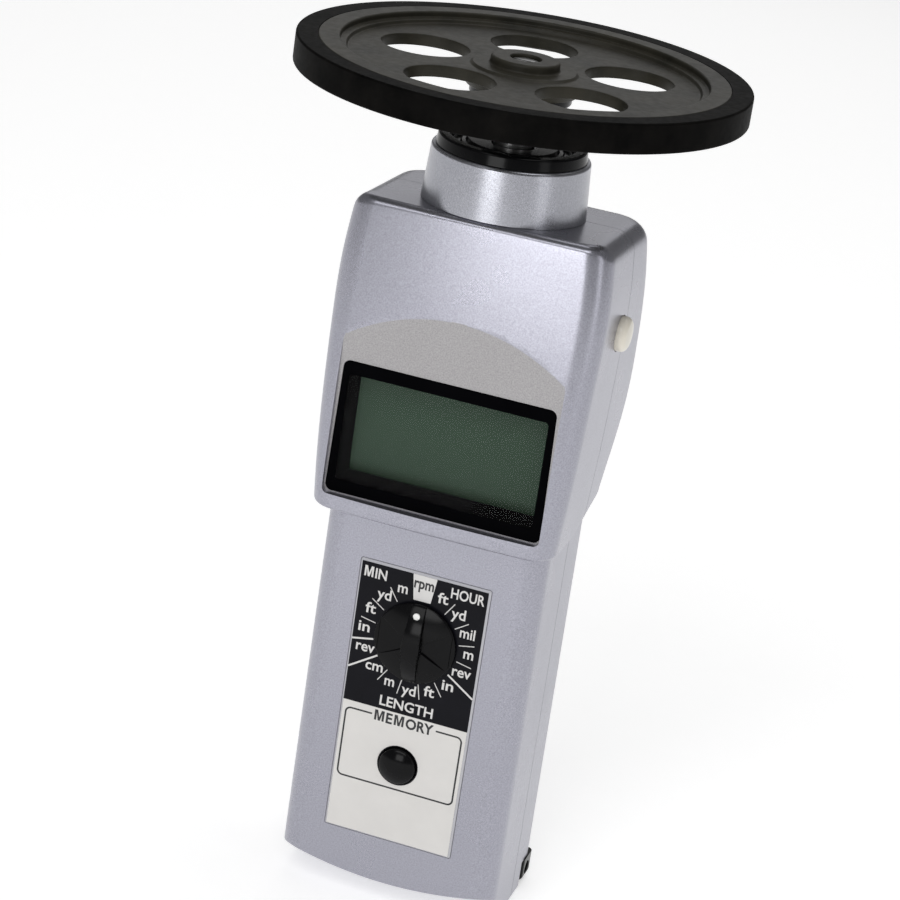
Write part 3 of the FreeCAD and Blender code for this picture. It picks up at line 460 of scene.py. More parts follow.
def rear_casing(outer, cavity):
    casing = carve(placed("rear_casing_skin", outer.data.copy()), [placed("tool", cavity.data.copy())])
    carve(casing, [brick(-FAR, FAR, -FAR, PARTING_Y + SEAM, *FAR_Z)])
    tools = [neck_hole()]
    posts = []
    for x, z, seat in CASING_SCREWS:
        for side in (-1, 1):
            place = (side * x, 0, z)
            posts.append(plug("y", solid_disc(SCREW_POST_R, PARTING_Y + SEAM, SCREW_POST_END), place))
            tools.append(plug("y", solid_disc(SCREW_WELL_R, seat, REACH), place))
    carve(casing, posts, "UNION")
    door = mm_box("battery_door")[1]
    panel = door.x - DOOR_TONGUE + DOOR_GAP
    groove = door.x + DOOR_GAP
    tools.append(brick(-panel, panel, DOOR_SEAT_Y, REACH, -5, door.z - DOOR_LATCH + DOOR_GAP))
    tools.append(brick(-groove, groove, DOOR_SEAT_Y, GRIP_BACK - WALL + 0.05, -5, door.z + 0.4))
    return carve(casing, tools)


# ---- materials ----
def material(name, colour, roughness, metallic=0.0, specular=0.5, coat=0.0, coat_rough=0.1, alpha=1.0):
    mat = bpy.data.materials.new(name)
    mat.use_nodes = True
    shader = mat.node_tree.nodes["Principled BSDF"]
    values = {"Base Color": (*colour, 1.0), "Roughness": roughness, "Metallic": metallic,
              "Specular IOR Level": specular, "Coat Weight": coat, "Coat Roughness": coat_rough,
              "Alpha": alpha, "IOR": 1.5}
    for key, value in values.items():
        shader.inputs[key].default_value = value
    return mat


def node(mat, kind, **values):
    made = mat.node_tree.nodes.new(kind)
    for key, value in values.items():
        if key in made.inputs:
            made.inputs[key].default_value = value
        else:
            setattr(made, key, value)
    return made


def link(mat, source, target):
    mat.node_tree.links.new(source, target)


def noise(mat, scale_per_mm, detail=2.0, rough=0.5, stretch=(1, 1, 1)):
    """Noise in object space; scale is features per millimetre."""
    place = node(mat, "ShaderNodeTexCoord")
    size = node(mat, "ShaderNodeMapping", Scale=tuple(s * scale_per_mm / MM for s in stretch))
    grain = node(mat, "ShaderNodeTexNoise", Scale=1.0, Detail=detail, Roughness=rough)
    link(mat, place.outputs["Object"], size.inputs["Vector"])
    link(mat, size.outputs["Vector"], grain.inputs["Vector"])
    return grain.outputs["Fac"]


def ramp(mat, factor, low, high, at=(0.0, 1.0)):
    """Colour ramp between two colours or two grey values."""
    made = node(mat, "ShaderNodeValToRGB")
    for element, place, value in zip(made.color_ramp.elements, at, (low, high)):
        element.position = place
        element.color = (*value, 1.0) if isinstance(value, tuple) else (value, value, value, 1.0)
    link(mat, factor, made.inputs["Fac"])
    return made.outputs["Color"]


def bump(mat, height, strength, distance_mm):
    made = node(mat, "ShaderNodeBump", Strength=strength, Distance=distance_mm * MM)
    link(mat, height, made.inputs["Height"])
    return made.outputs["Normal"]


def feed(mat, socket, value):
    link(mat, value, mat.node_tree.nodes["Principled BSDF"].inputs[socket])


def silver_paint(name, tone, roughness):
    """Metallic silver paint: fine flake in the colour, a slow change of gloss and a faint orange peel."""
    mat = material(name, tone, roughness, metallic=0.82, coat=0.08, coat_rough=0.32)
    dark = tuple(c * 0.84 for c in tone)
    light = tuple(min(1.0, c * 1.19) for c in tone)
    feed(mat, "Base Color", ramp(mat, noise(mat, 3.0, 3.0, 0.65), dark, light, (0.32, 0.7)))
    feed(mat, "Roughness", ramp(mat, noise(mat, 0.05, 2.0), roughness - 0.04, roughness + 0.06))
    feed(mat, "Normal", bump(mat, noise(mat, 1.4, 2.0), 0.10, 0.03))
    return mat


def moulded(name, colour, roughness, grain, strength, variation=0.15, coat=0.0, specular=0.5):
    """Moulded plastic: grain features per millimetre, and a slow change of tone and gloss."""
    mat = material(name, colour, roughness, coat=coat, specular=specular)
    dark = tuple(c * (1 - variation) for c in colour)
    light = tuple(min(1.0, c * (1 + variation)) for c in colour)
    feed(mat, "Base Color", ramp(mat, noise(mat, 0.12, 4.0, 0.6), dark, light, (0.3, 0.7)))
    feed(mat, "Roughness", ramp(mat, noise(mat, 0.3, 3.0), roughness * 0.85, min(1.0, roughness * 1.15)))
    feed(mat, "Normal", bump(mat, noise(mat, grain, 2.0), strength, 0.02))
    return mat


def machined(name, colour, roughness):
    """Turned or ground metal with fine lines round its axis."""
    mat = material(name, colour, roughness, metallic=1.0)
    lines = noise(mat, 0.5, 3.0, 0.6, (1, 1, 30))
    feed(mat, "Roughness", ramp(mat, lines, roughness * 0.8, roughness * 1.25))
    feed(mat, "Normal", bump(mat, lines, 0.08, 0.01))
    return mat


def wheel_material():
    """Dark olive-grey cast plastic, a little mottled, with a satin skin."""
    mat = material("wheel_plastic", (0.050, 0.045, 0.035), 0.42, specular=0.15)
    cloud = noise(mat, 0.09, 5.0, 0.62)
    feed(mat, "Base Color", ramp(mat, cloud, (0.014, 0.0135, 0.010), (0.036, 0.033, 0.024), (0.3, 0.7)))
    feed(mat, "Roughness", ramp(mat, noise(mat, 0.6, 3.0), 0.34, 0.52))
    feed(mat, "Normal", bump(mat, noise(mat, 2.5, 3.0), 0.22, 0.04))
    return mat


def rubber_material():
    """Smooth black tyre: cloudy bloom and shallow lines round the tread."""
    mat = material("tyre_rubber", (0.006, 0.006, 0.006), 0.5, specular=0.02)
    cloud = noise(mat, 0.15, 4.0, 0.6)
    tone = ramp(mat, cloud, (0.0016, 0.0016, 0.0016), (0.006, 0.0055, 0.005), (0.3, 0.7))
    feed(mat, "Base Color", tone)
    feed(mat, "Roughness", ramp(mat, noise(mat, 0.8, 3.0), 0.42, 0.6))
    feed(mat, "Normal", bump(mat, noise(mat, 3.0, 2.0, stretch=(0.3, 0.3, 3)), 0.15, 0.03))
    return mat


def display_material():
    """Blank liquid crystal: smooth grey green, with painted shade that darkens it along its lower edge,
    where the frame shades it.
    """
    mat = material("lcd_surface", (0.052, 0.088, 0.060), 0.3, specular=0.1)
    low, high = mm_box("lcd_glass")
    place = node(mat, "ShaderNodeTexCoord")
    split = node(mat, "ShaderNodeSeparateXYZ")
    link(mat, place.outputs["Object"], split.inputs["Vector"])
    span = node(mat, "ShaderNodeMapRange", **{"From Min": low.z * MM, "From Max": high.z * MM})
    link(mat, split.outputs["Z"], span.inputs["Value"])
    # painted shade: the colour ramps from dark at the display's lower edge up to its own grey green,
    # standing in for the frame's shadow
    tone = ramp(mat, span.outputs["Result"], (0.018, 0.036, 0.020), (0.052, 0.088, 0.060), (0.06, 0.16))
    feed(mat, "Base Color", tone)
    return mat


MATS = {
    "silver_paint": silver_paint("silver_paint", (0.35, 0.35, 0.402), 0.27),
    "facet": silver_paint("facet_silver", (0.37, 0.36, 0.365), 0.55),
    "neck_silver": silver_paint("neck_silver", (0.40, 0.405, 0.445), 0.27),
    "black_gloss": moulded("black_gloss", (0.004, 0.004, 0.0045), 0.16, 2.0, 0.03, specular=0.12),
    "bezel": moulded("bezel_black", (0.002, 0.002, 0.0025), 0.3, 2.0, 0.02, specular=0.0),
    "wheel_plastic": wheel_material(),
    "tyre_rubber": rubber_material(),
    "ivory_plastic": moulded("ivory_plastic", (0.80, 0.755, 0.655), 0.3, 1.5, 0.05, 0.04, coat=0.2),
    "label_print": moulded("label_black", (0.005, 0.005, 0.0075), 0.3, 1.2, 0.05, specular=0.1),
    "edge": material("label_edge", (0.50, 0.50, 0.53), 0.18, specular=0.6),
    "cream": moulded("label_cream", (0.66, 0.645, 0.625), 0.38, 1.2, 0.04, 0.025),
    "white_ink": moulded("white_ink", (0.64, 0.63, 0.62), 0.45, 3.0, 0.05, 0.03),
    "black_ink": moulded("black_ink", (0.012, 0.012, 0.014), 0.4, 3.0, 0.05),
    "clear_pane": material("window", (0.02, 0.02, 0.02), 0.04, specular=0.3, alpha=0.08),
    "lcd_surface": display_material(),
    "steel": machined("steel", (0.55, 0.55, 0.55), 0.3),
    "bearing_steel": machined("bearing_steel", (0.75, 0.75, 0.76), 0.15),
    "housing_metal": machined("housing_metal", (0.7, 0.7, 0.71), 0.35),
    "contact_metal": machined("contact_metal", (0.72, 0.64, 0.45), 0.28),
    "board": moulded("board_green", (0.02, 0.13, 0.055), 0.35, 4.0, 0.1, coat=0.3),
    "component_black": moulded("component_black", (0.025, 0.025, 0.027), 0.5, 5.0, 0.2),
    "white_plastic": moulded("white_plastic", (0.85, 0.85, 0.83), 0.4, 4.0, 0.05, 0.03),
    "contact_rubber": moulded("contact_rubber", (0.42, 0.30, 0.36), 0.7, 4.0, 0.1),
    "cell_jacket": moulded("cell_jacket", (0.05, 0.10, 0.26), 0.25, 2.0, 0.05, coat=0.5),
    "tray_plastic": moulded("tray_plastic", (0.035, 0.035, 0.038), 0.5, 5.0, 0.2),
    "felt": moulded("felt", (0.07, 0.07, 0.07), 0.95, 6.0, 0.8),
}


def dress(obj, body, slot, node=None, look=None):
    """Gives a new piece its body and the material of its slot, or of look where one is given, and hides the
    CAD node it stands for.
    """
    obj.data.materials.clear()
    obj.data.materials.append(MATS[look or slot])
    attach(obj, body)
    if node:
        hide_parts(node)


# ---- casing pieces ----
def finish_casing():
    outer, cavity = casing_solids()
    front, rear = front_casing(outer, cavity), rear_casing(outer, cavity)
    for tool in (outer, cavity):
        bpy.data.objects.remove(tool)
    for obj, name in ((front, "front_casing"), (rear, "rear_casing")):
        dress(obj, "casing", "silver_paint", name)
        shade(obj, 28)
    front.data.materials.append(MATS["facet"])
    top = HEAD_TOP_Z - 5
    for face in front.data.polygons:
        place = face.center / MM
        if abs(place.y - pocket_y()) < 0.01 and face.normal.y < -0.99 and place.z < top:
            face.material_index = 1


DOOR_PLATE = 1.3  # thickness of the tongues
DOOR_CORNER_R = 1.2
DOOR_RIBS = 4
DOOR_FIRST_RIB = 58.0
DOOR_RIB_PITCH = 3.0
DOOR_RIB = (7, 1.2, 0.5)  # half width, height and corner radius


def battery_cover():
    """Sliding cover with side tongues and finger ribs."""
    low, high = mm_box("battery_door")
    half = high.x - DOOR_TONGUE
    panel = (half, half, low.z, high.z - DOOR_LATCH, DOOR_CORNER_R)
    back = high.y - 0.6
    rings = [front_ring(panel, low.y + DOOR_PLATE)]
    rings += [front_ring(panel, back - d, i) for i, d in reversed(rounding(0.4, 4))]
    cover = new_object("battery_cover", *skin(rings))
    tools = [brick(-high.x, high.x, low.y, low.y + DOOR_PLATE, low.z, high.z)]
    rib_half, rib_tall, rib_r = DOOR_RIB
    for n in range(DOOR_RIBS):
        z = DOOR_FIRST_RIB + DOOR_RIB_PITCH * n
        rib = (rib_half, rib_half, z, z + rib_tall, rib_r)
        tools.append(new_object("tool", *skin([
            front_ring(rib, back - 0.3), front_ring(rib, back + 0.35), front_ring(rib, high.y, 0.2)])))
    carve(cover, tools, "UNION")
    shade(cover, 30)
    dress(cover, "battery_cover", "silver_paint", "battery_door")


LUG_Y = (9.2, 16.8)
LUG_CORNER_R = 1.5
LUG_EDGE_R = 1.3
LUG_HOLE_R = 1.5
LUG_HOLE_Z = 3.6


def strap_lug():
    """Lug with a round lower edge and a flared cross hole for a cord."""
    low, high = mm_box("strap_lug")
    front, back = LUG_Y
    levels = [(inset, low.z + d) for inset, d in rounding(LUG_EDGE_R, 5)] + [(0.0, NOTCH_Z)]
    rings = []
    for inset, z in levels:
        corners = ((low.x + inset, front + inset), (high.x - inset, front + inset),
                   (high.x - inset, back - inset), (low.x + inset, back - inset))
        rings.append([(x, y, z) for x, y in soften([(*c, LUG_CORNER_R) for c in corners])])
    lug = new_object("strap_lug_body", *skin(rings))
    hole = flared_disc(LUG_HOLE_R, low.x, high.x, 0.4)
    carve(lug, [plug("x", hole, (0, (front + back) / 2, LUG_HOLE_Z))])
    shade(lug, 35)
    dress(lug, "casing", "black_gloss", "strap_lug")


# ---- neck and wheel ----
COLLAR_BORE_R = 14.4
COLLAR_TOP_R = 17.15
CAP_RIM_R = 13.8
CAP_BORE_R = 4.6
CAP_FLOOR = 1.1  # height of the cap's dish above the cap's underside
TYRE_INNER_R = 43.8
WEB_INNER_R = 11.0
WEB_OUTER_R = 37.4
WEB_UNDER_TOP = 2.2
WEB_OVER_BOTTOM = 1.55
BOSS_R = 7.4
BOSS_HOLE_R = 3.3
HUB_BORE_R = 2.5
HOLES = 5
HOLE_R = 9.55
HOLE_CIRCLE = 23.15
FIRST_HOLE_DEG = 174.0


def turned_piece(name, corners, body, slot, node, segments=144):
    obj = new_object(name, *lathe(soften(corners), segments))
    dress(obj, body, slot, node)
    return obj


def neck_collar():
    """Tapered ring whose foot follows the head's sloping top."""
    low, high = mm_box("neck_collar")
    corners = [(COLLAR_BORE_R, low.z, 0), (high.x - 0.02, low.z, 0), (COLLAR_TOP_R, high.z, 0.7),
               (COLLAR_BORE_R, high.z, 0)]
    collar = turned_piece("neck_collar_ring", corners, "casing", "neck_silver", "neck_collar")
    above = [(-REACH, 150), (-REACH, top_z(-REACH) + 0.05), (REACH, top_z(REACH) + 0.05), (REACH, 150)]
    carve(collar, [prism(above, -REACH, REACH)])
    shade(collar, 30)


def bearing_cap():
    """Black ring with a stepped dish."""
    low, high = mm_box("bearing_cap")
    r, floor = high.x, low.z + CAP_FLOOR
    corners = [(CAP_BORE_R, low.z, 0), (r - 0.05, low.z, 0.2), (r - 0.4, high.z, 0.6),
               (CAP_RIM_R + 0.1, high.z, 0.3), (CAP_RIM_R - 0.3, floor, 0.3), (12.6, floor, 0.2),
               (12.3, floor - 0.3, 0.1), (11.2, floor - 0.3, 0.1), (10.9, floor, 0.2), (10.1, floor, 0.2),
               (9.6, floor + 0.7, 0.2), (5.8, floor + 0.7, 0.2), (CAP_BORE_R, floor + 0.3, 0.1)]
    turned_piece("bearing_cap_ring", corners, "casing", "black_gloss", "bearing_cap")


def wheel_hub():
    """Wheel body: rim, web with five flared holes, and boss."""
    high = mm_box("wheel_hub")[1]
    tyre_low, tyre_high = mm_box("tyre")
    top, bottom = tyre_high.z, tyre_low.z
    web_top, web_bottom = top - WEB_UNDER_TOP, bottom + WEB_OVER_BOTTOM
    screw_seat, step = high.z - 2.2, web_top + 0.5
    corners = [(TYRE_INNER_R, bottom + 0.2, 0.2), (TYRE_INNER_R, top, 0.25), (39.2, top, 0.5),
               (39.2, top - 1.25, 0.25), (37.8, top - 1.45, 0.35), (WEB_OUTER_R, web_top, 0.4),
               (WEB_INNER_R + 0.6, web_top, 0.5), (WEB_INNER_R, step, 0.3), (BOSS_R, step, 0.5),
               (BOSS_R, high.z, 0.7), (BOSS_HOLE_R, high.z, 0.35), (BOSS_HOLE_R, screw_seat, 0.1),
               (HUB_BORE_R, screw_seat, 0), (HUB_BORE_R, bottom, 0.1), (12.0, bottom, 0.3),
               (12.6, web_bottom, 0.5), (WEB_OUTER_R, web_bottom, 0.6), (38.2, bottom + 0.2, 0.3)]
    hub = new_object("wheel_hub_body", *lathe(soften(corners), 180))
    cutter = flared_disc(HOLE_R, web_bottom, web_top, 0.35)
    tools = []
    for n in range(HOLES):
        a = math.radians(FIRST_HOLE_DEG - n * 360.0 / HOLES)
        tools.append(plug("z", cutter, (HOLE_CIRCLE * math.cos(a), HOLE_CIRCLE * math.sin(a), 0), 96))
    carve(hub, tools)
    shade(hub, 32)
    dress(hub, "wheel", "wheel_plastic", "wheel_hub")


def tyre():
    low, high = mm_box("tyre")
    corners = [(TYRE_INNER_R, low.z, 0.1), (high.x, low.z, 0.5), (high.x, high.z, 0.5),
               (TYRE_INNER_R, high.z, 0.15)]
    turned_piece("tyre_band", corners, "wheel", "tyre_rubber", "tyre", 192)


def wheel_adapter():
    """Flanged sleeve between the spindle and the wheel."""
    low, high = mm_box("wheel_adapter")
    corners = [(2.6, low.z, 0), (6.5, low.z, 0.5), (6.5, 186.4, 0.4), (11.0, 187.6, 0.5),
               (11.0, high.z, 0.2), (2.6, high.z, 0)]
    turned_piece("wheel_adapter_sleeve", corners, "wheel", "black_gloss", "wheel_adapter")


# ---- display ----
VIEW_HALF = 21.5  # the part of the display that shows at the bottom of the frame
VIEW_BOTTOM = 101.95
VIEW_TOP = 123.9
PANE_CORNER_R = 0.8


def display():
    """Bezel with rounded rims and walls that slope in to the display, and its clear pane."""
    low, high = mm_box("lcd_bezel")
    pane_low, pane_high = mm_box("lcd_window")
    outside = (high.x, high.x - BEZEL_TAPER, low.z, high.z, BEZEL_CORNER_R)
    pane_gap = 0.05
    pane_seat = (pane_high.x + pane_gap, pane_high.x + pane_gap, pane_low.z - pane_gap,
                 pane_high.z + pane_gap, PANE_CORNER_R)
    rings = [front_ring(outside, high.y)]
    rings += [front_ring(outside, low.y + d, i) for i, d in reversed(rounding(0.3, 4))]
    rings += [front_ring(pane_seat, low.y + d, -i) for i, d in rounding(0.25, 4)]
    rings.append(front_ring(pane_seat, pane_high.y))
    rings.append(front_ring((VIEW_HALF, VIEW_HALF, VIEW_BOTTOM, VIEW_TOP, 0.4), high.y))
    bezel = new_object("lcd_bezel_frame", *skin(rings, closed=True))
    dress(bezel, "casing", "black_gloss", "lcd_bezel", "bezel")
    pane = (pane_high.x, pane_high.x, pane_low.z, pane_high.z, PANE_CORNER_R)
    dress(front_solid("lcd_pane", pane, pane_low.y, pane_high.y), "casing", "clear_pane", "lcd_window")


# ---- panel: label, print, knob and keys ----
LABEL_CHAMFER = 0.45
LABEL_EDGE = LABEL_CHAMFER + 0.02  # the print stops this far inside the label's outline
INK = 0.03
THIN_INK = 0.02
DIVIDER = 31.9  # height of the black field's lower edge above the label's
DIAL = (("rpm", 0), ("ft", 1), ("yd", 2), ("mil", 3), ("m", 4), ("rev", 5), ("in", 6), ("ft", 7), ("yd", 8),
        ("m", 9), ("cm", 10), ("rev", 11), ("in", 12), ("ft", 13), ("yd", 14), ("m", 15))
STEP_DEG = 22.5
WORD_R = 12.3
TOP_WORD_R = 13.5
WORD_TALL = 2.6
WORD_RISE = 0.65  # words sit this far above their place on the dial's circle
WORD_WIDTH = {"rpm": 4.6, "ft": 2.5, "yd": 3.3, "mil": 3.5, "m": 2.3, "rev": 4.4, "in": 2.7, "cm": 4.1}
HEADING_TALL = 2.5
LETTER_GAP = 0.45
THICK_TICKS = (5, 10, 11)  # the line after each of these positions is bold and runs to the edge
TICK_R = (10.0, 13.6)
WEDGE_HALF = (2.0, 2.8)  # of the pale field at the top of the dial, at its foot and its top
WEDGE_R = 9.9  # the pale field starts this far from the dial's centre
PRINT_HOLE_R = 4.85  # the pale print stops at this radius round the memory key
PRINT_HOLE_BOX = 5.6  # half height of the two pieces that meet round the key
KEY_BOX_HALF = 13.8
KEY_BOX_DROP = 5.95  # the outline's lower side below the key's centre
KEY_BOX_GAP = 7.6  # the outline is broken this far each side for its heading
KEY_HEADING_DROP = 1.75  # the heading and the outline's upper side below the divider


def band(points, width):
    """Mitred band along an open line of (x, z) points, as quads."""
    sides = []
    for i, (x, z) in enumerate(points):
        here = Vector((x, z))
        along = Vector((0.0, 0.0))
        if i:
            along += (here - Vector(points[i - 1])).normalized()
        if i < len(points) - 1:
            along += (Vector(points[i + 1]) - here).normalized()
        n = Vector((-along.y, along.x)).normalized() * width / 2
        sides.append(((x + n.x, z + n.y), (x - n.x, z - n.y)))
    return [[a[0], a[1], b[1], b[0]] for a, b in zip(sides, sides[1:])]


def word(text, x, z, height, width, weight):
    """Polygons of a word stretched to a width, its middle at x and z, its capitals height tall."""
    curve = bpy.data.curves.new("word", "FONT")
    curve.body = text
    curve.size = height / 0.73
    curve.offset = weight
    curve.align_x, curve.align_y = "CENTER", "BOTTOM_BASELINE"
    curve.resolution_u = 3
    obj = placed("word", curve)
    mesh = final_mesh(obj)
    across = [v.co.x for v in mesh.vertices]
    middle = (min(across) + max(across)) / 2
    stretch = width / (max(across) - min(across))
    spots = [(x + (v.co.x - middle) * stretch, z + v.co.y - height / 2) for v in mesh.vertices]
    polygons = [[spots[i] for i in face.vertices] for face in mesh.polygons]
    bpy.data.objects.remove(obj)
    bpy.data.meshes.remove(mesh)
    return polygons


def capital_m(x, z, height, width, stroke):
    """One polygon for a bold capital M, its middle at x and z."""
    left, right, low, high = x - width / 2, x + width / 2, z - height / 2, z + height / 2
    notch, shoulder = low + 0.32 * height, low + 0.74 * height
    wide, half = 1.4 * stroke, 0.5 * stroke
    return [[(left, low), (left, high), (left + wide, high), (x, notch), (right - wide, high),
             (right, high), (right, low), (right - stroke, low), (right - stroke, shoulder),
             (x + half, low), (x - half, low), (left + stroke, shoulder), (left + stroke, low)]]


def spelled(pieces, x, z, height, weight=0.06):
    """Polygons of a heading made of (letters, width) pieces set side by side, its middle at x and z."""
    left = x - (sum(width for _, width in pieces) + LETTER_GAP * (len(pieces) - 1)) / 2
    polygons = []
    for text, width in pieces:
        draw = capital_m(left + width / 2, z, height, width, 0.3 + 2 * weight) if text == "M" else None
        polygons += draw or word(text, left + width / 2, z, height, width, weight)
        left += width + LETTER_GAP
    return polygons


def inked(name, polygons, y, look, thickness):
    """Prints polygons given in X-Z as one thin solid standing on the plane y."""
    flat = bmesh.new()
    for polygon in polygons:
        flat.faces.new([flat.verts.new((px * MM, y * MM, pz * MM)) for px, pz in polygon])
    bmesh.ops.remove_doubles(flat, verts=flat.verts, dist=2e-7)
    flat.normal_update()
    for face in flat.faces:
        if face.normal.y > 0:
            face.normal_flip()
    raised = bmesh.ops.extrude_face_region(flat, geom=list(flat.faces), use_keep_orig=True)
    lifted = [v for v in raised["geom"] if isinstance(v, bmesh.types.BMVert)]
    bmesh.ops.translate(flat, verts=lifted, vec=(0, -thickness * MM, 0))
    bmesh.ops.recalc_face_normals(flat, faces=flat.faces)
    mesh = bpy.data.meshes.new(name)
    flat.to_mesh(mesh)
    flat.free()
    dress(placed(name, mesh), "casing", "label_print", look=look)


def polar(r, deg, centre_z):
    """Point at a clockwise angle from the top of the dial."""
    return r * math.sin(math.radians(deg)), centre_z + r * math.cos(math.radians(deg))


def label_plate():
    """Plate with a pale chamfer and holes for the switch shaft and the memory key."""
    low, high = mm_box("label_plate")
    size = (high.x, high.x, low.z, high.z, LABEL_CORNER_R)
    rings = [front_ring(size, high.y), front_ring(size, low.y + LABEL_CHAMFER),
             front_ring(size, low.y, LABEL_CHAMFER)]
    plate = new_object("label_plate_body", *skin(rings))
    carve(plate, panel_holes())
    shade(plate, 20)
    dress(plate, "casing", "label_print", "label_plate")
    plate.data.materials.append(MATS["edge"])
    for face in plate.data.polygons:
        x, _, z = face.center / MM
        outside = abs(x) > high.x - 1 or not low.z + 1 < z < high.z - 1
        slanted = 0.2 < -face.normal.y < 0.95
        if outside and (slanted or abs(face.normal.y) < 0.2):
            face.material_index = 1


def cream_field():
    """Pale lower field of the label, in four pieces round the memory key."""
    low, high = mm_box("label_plate")
    key_z = node_mid_z("memory_button")
    divider = low.z + DIVIDER
    half = high.x - LABEL_EDGE
    reach = PRINT_HOLE_BOX
    fields = [[(-half, low.z + LABEL_EDGE), (half, low.z + LABEL_EDGE), (half, key_z - reach),
               (-half, key_z - reach)],
              [(-half, key_z + reach), (half, key_z + reach), (half, divider), (-half, divider)]]
    for side, start in ((1, 0), (-1, 180)):
        rim = [polar(PRINT_HOLE_R, start + d, key_z) for d in range(180, -1, -10)]
        fields.append([(0, key_z + reach * side), (side * half, key_z + reach * side),
                       (side * half, key_z - reach * side), (0, key_z - reach * side)] + rim)
    inked("label_cream_field", fields, low.y, "cream", INK)


def dial_ticks(dial_z, half):
    """Lines between the dial's words; the bold ones run out to the label's edge."""
    quads = []
    near, far = TICK_R
    for n in range(1, 15):
        deg = (n + 0.5) * STEP_DEG
        bold = n in THICK_TICKS
        end = half / abs(math.sin(math.radians(deg))) if bold else far
        quads += band([polar(r, deg, dial_z) for r in (near, end)], 0.42 if bold else 0.2)
    return quads


def panel_print():
    """White print on the dial's black field and black print on the pale fields."""
    low, high = mm_box("label_plate")
    dial_z, key_z = node_mid_z("mode_knob"), node_mid_z("memory_button")
    divider = low.z + DIVIDER
    foot, top = WEDGE_HALF
    wedge_low, wedge_high = dial_z + WEDGE_R, high.z - LABEL_EDGE
    white = [[(-foot, wedge_low), (foot, wedge_low), (top, wedge_high), (-top, wedge_high)]]
    black = []
    for text, n in DIAL:
        field, r, weight = (white, WORD_R, 0.055) if n else (black, TOP_WORD_R, 0.09)
        x, z = polar(r, n * STEP_DEG, dial_z)
        field.extend(word(text, x, z + WORD_RISE, WORD_TALL, WORD_WIDTH[text], weight))
    white += dial_ticks(dial_z, high.x - LABEL_EDGE)
    heading_z = high.z - 2.65
    white += spelled([("M", 2.1), ("IN", 2.7)], -11.35, heading_z, HEADING_TALL)
    white += spelled([("HOUR", 7.8)], 10.2, heading_z + 0.1, HEADING_TALL)
    white += spelled([("LENGTH", 12.6)], 0.0, divider + 2.2, HEADING_TALL)
    box_low, box_high = key_z - KEY_BOX_DROP, divider - KEY_HEADING_DROP
    black += spelled([("M", 2.3), ("E", 1.5), ("M", 2.3), ("ORY", 6.55)], 0.0, box_high, 2.55, 0.1)
    corners = [(-KEY_BOX_GAP, box_high, 0), (-KEY_BOX_HALF, box_high, 1.2), (-KEY_BOX_HALF, box_low, 1.2),
               (KEY_BOX_HALF, box_low, 1.2), (KEY_BOX_HALF, box_high, 1.2), (KEY_BOX_GAP, box_high, 0)]
    black += band(soften(corners, 6), 0.4)
    inked("dial_print_white", white, low.y, "white_ink", THIN_INK)
    inked("panel_print_black", black, low.y - INK, "black_ink", THIN_INK)


KNOB_RIM = 0.75
KNOB_CROWN = 2.3
KNOB_BAR = 4.1
KNOB_BAR_HALF = 2.1
KNOB_BAR_END_HALF = 1.5
KNOB_SCOOP_DEG = 29.0
KNOB_SCOOP_IN = 0.75  # the scoop's depth below the crown, beside the bar
KNOB_SCOOP_OUT = 0.25  # and below the rim, at its outer end
KNOB_SCOOP_TALL = 6
KNOB_DOT_R = 0.8
MEMORY_DOME_R = 7.8
MEMORY_FLANGE = (5.4, 0.8)  # radius and thickness, behind the front wall
MEASURE_EDGE_R = 1.5
MEASURE_CROWN = 0.25
MEASURE_FLANGE = (5.2, 1.2, 2.7)  # radius, inner and outer distance from the key's inner end
MEASURE_STEM_R = 1.6


def dome(r, crown, centre_z, back):
    """Solid of a knob's low dome, crown high at the centre and KNOB_RIM high at the rim."""
    drop = crown - KNOB_RIM
    ball = (r * r + drop * drop) / (2 * drop)
    arc_points = [(t, -(crown - ball + math.sqrt(ball * ball - t * t))) for t in np.linspace(0, r - 0.2, 16)]
    profile = arc_points + [(r, 0.15 - KNOB_RIM), (r, 0), (0, 0)]
    return plug("y", profile, (0, back, centre_z), 128)


def pointer_bar(r, centre_z, back):
    """Tapered bar across the knob, its top rounded from end to end."""
    reach = r + 1
    plan = [(-KNOB_BAR_HALF, 0), (-KNOB_BAR_END_HALF, reach), (KNOB_BAR_END_HALF, reach),
            (KNOB_BAR_HALF, 0), (KNOB_BAR_END_HALF, -reach), (-KNOB_BAR_END_HALF, -reach)]
    rings = [[(x, y, centre_z + z) for x, z in plan] for y in (back - KNOB_BAR - 1, back)]
    return carve(new_object("tool", *skin(rings)), [dome(r, KNOB_BAR, centre_z, back)], "INTERSECT")


def finger_scoop(side, r, centre_z, back):
    """Wedge that hollows one side of the knob beside the bar."""
    slope, reach = math.tan(math.radians(KNOB_SCOOP_DEG)), r + 2
    rings = []
    inner = (KNOB_BAR_HALF, back - KNOB_CROWN + KNOB_SCOOP_IN)
    outer = (reach, back - KNOB_RIM + KNOB_SCOOP_OUT)
    for x, y in (inner, outer):
        low, high, front = centre_z - x * slope, centre_z + x * slope, y - KNOB_SCOOP_TALL
        corners = ((y, low), (y, high), (front, high), (front, low))
        rings.append([(side * x, *corner) for corner in corners])
    return new_object("tool", *skin(rings))


def bevelled(obj, width_mm, over_deg):
    """Rounds every edge sharper than an angle."""
    bevel = obj.modifiers.new("bevel", "BEVEL")
    bevel.width, bevel.segments, bevel.limit_method = width_mm * MM, 2, "ANGLE"
    bevel.angle_limit = math.radians(over_deg)
    bevel.use_clamp_overlap = False
    obj.modifiers.move(len(obj.modifiers) - 1, 0)


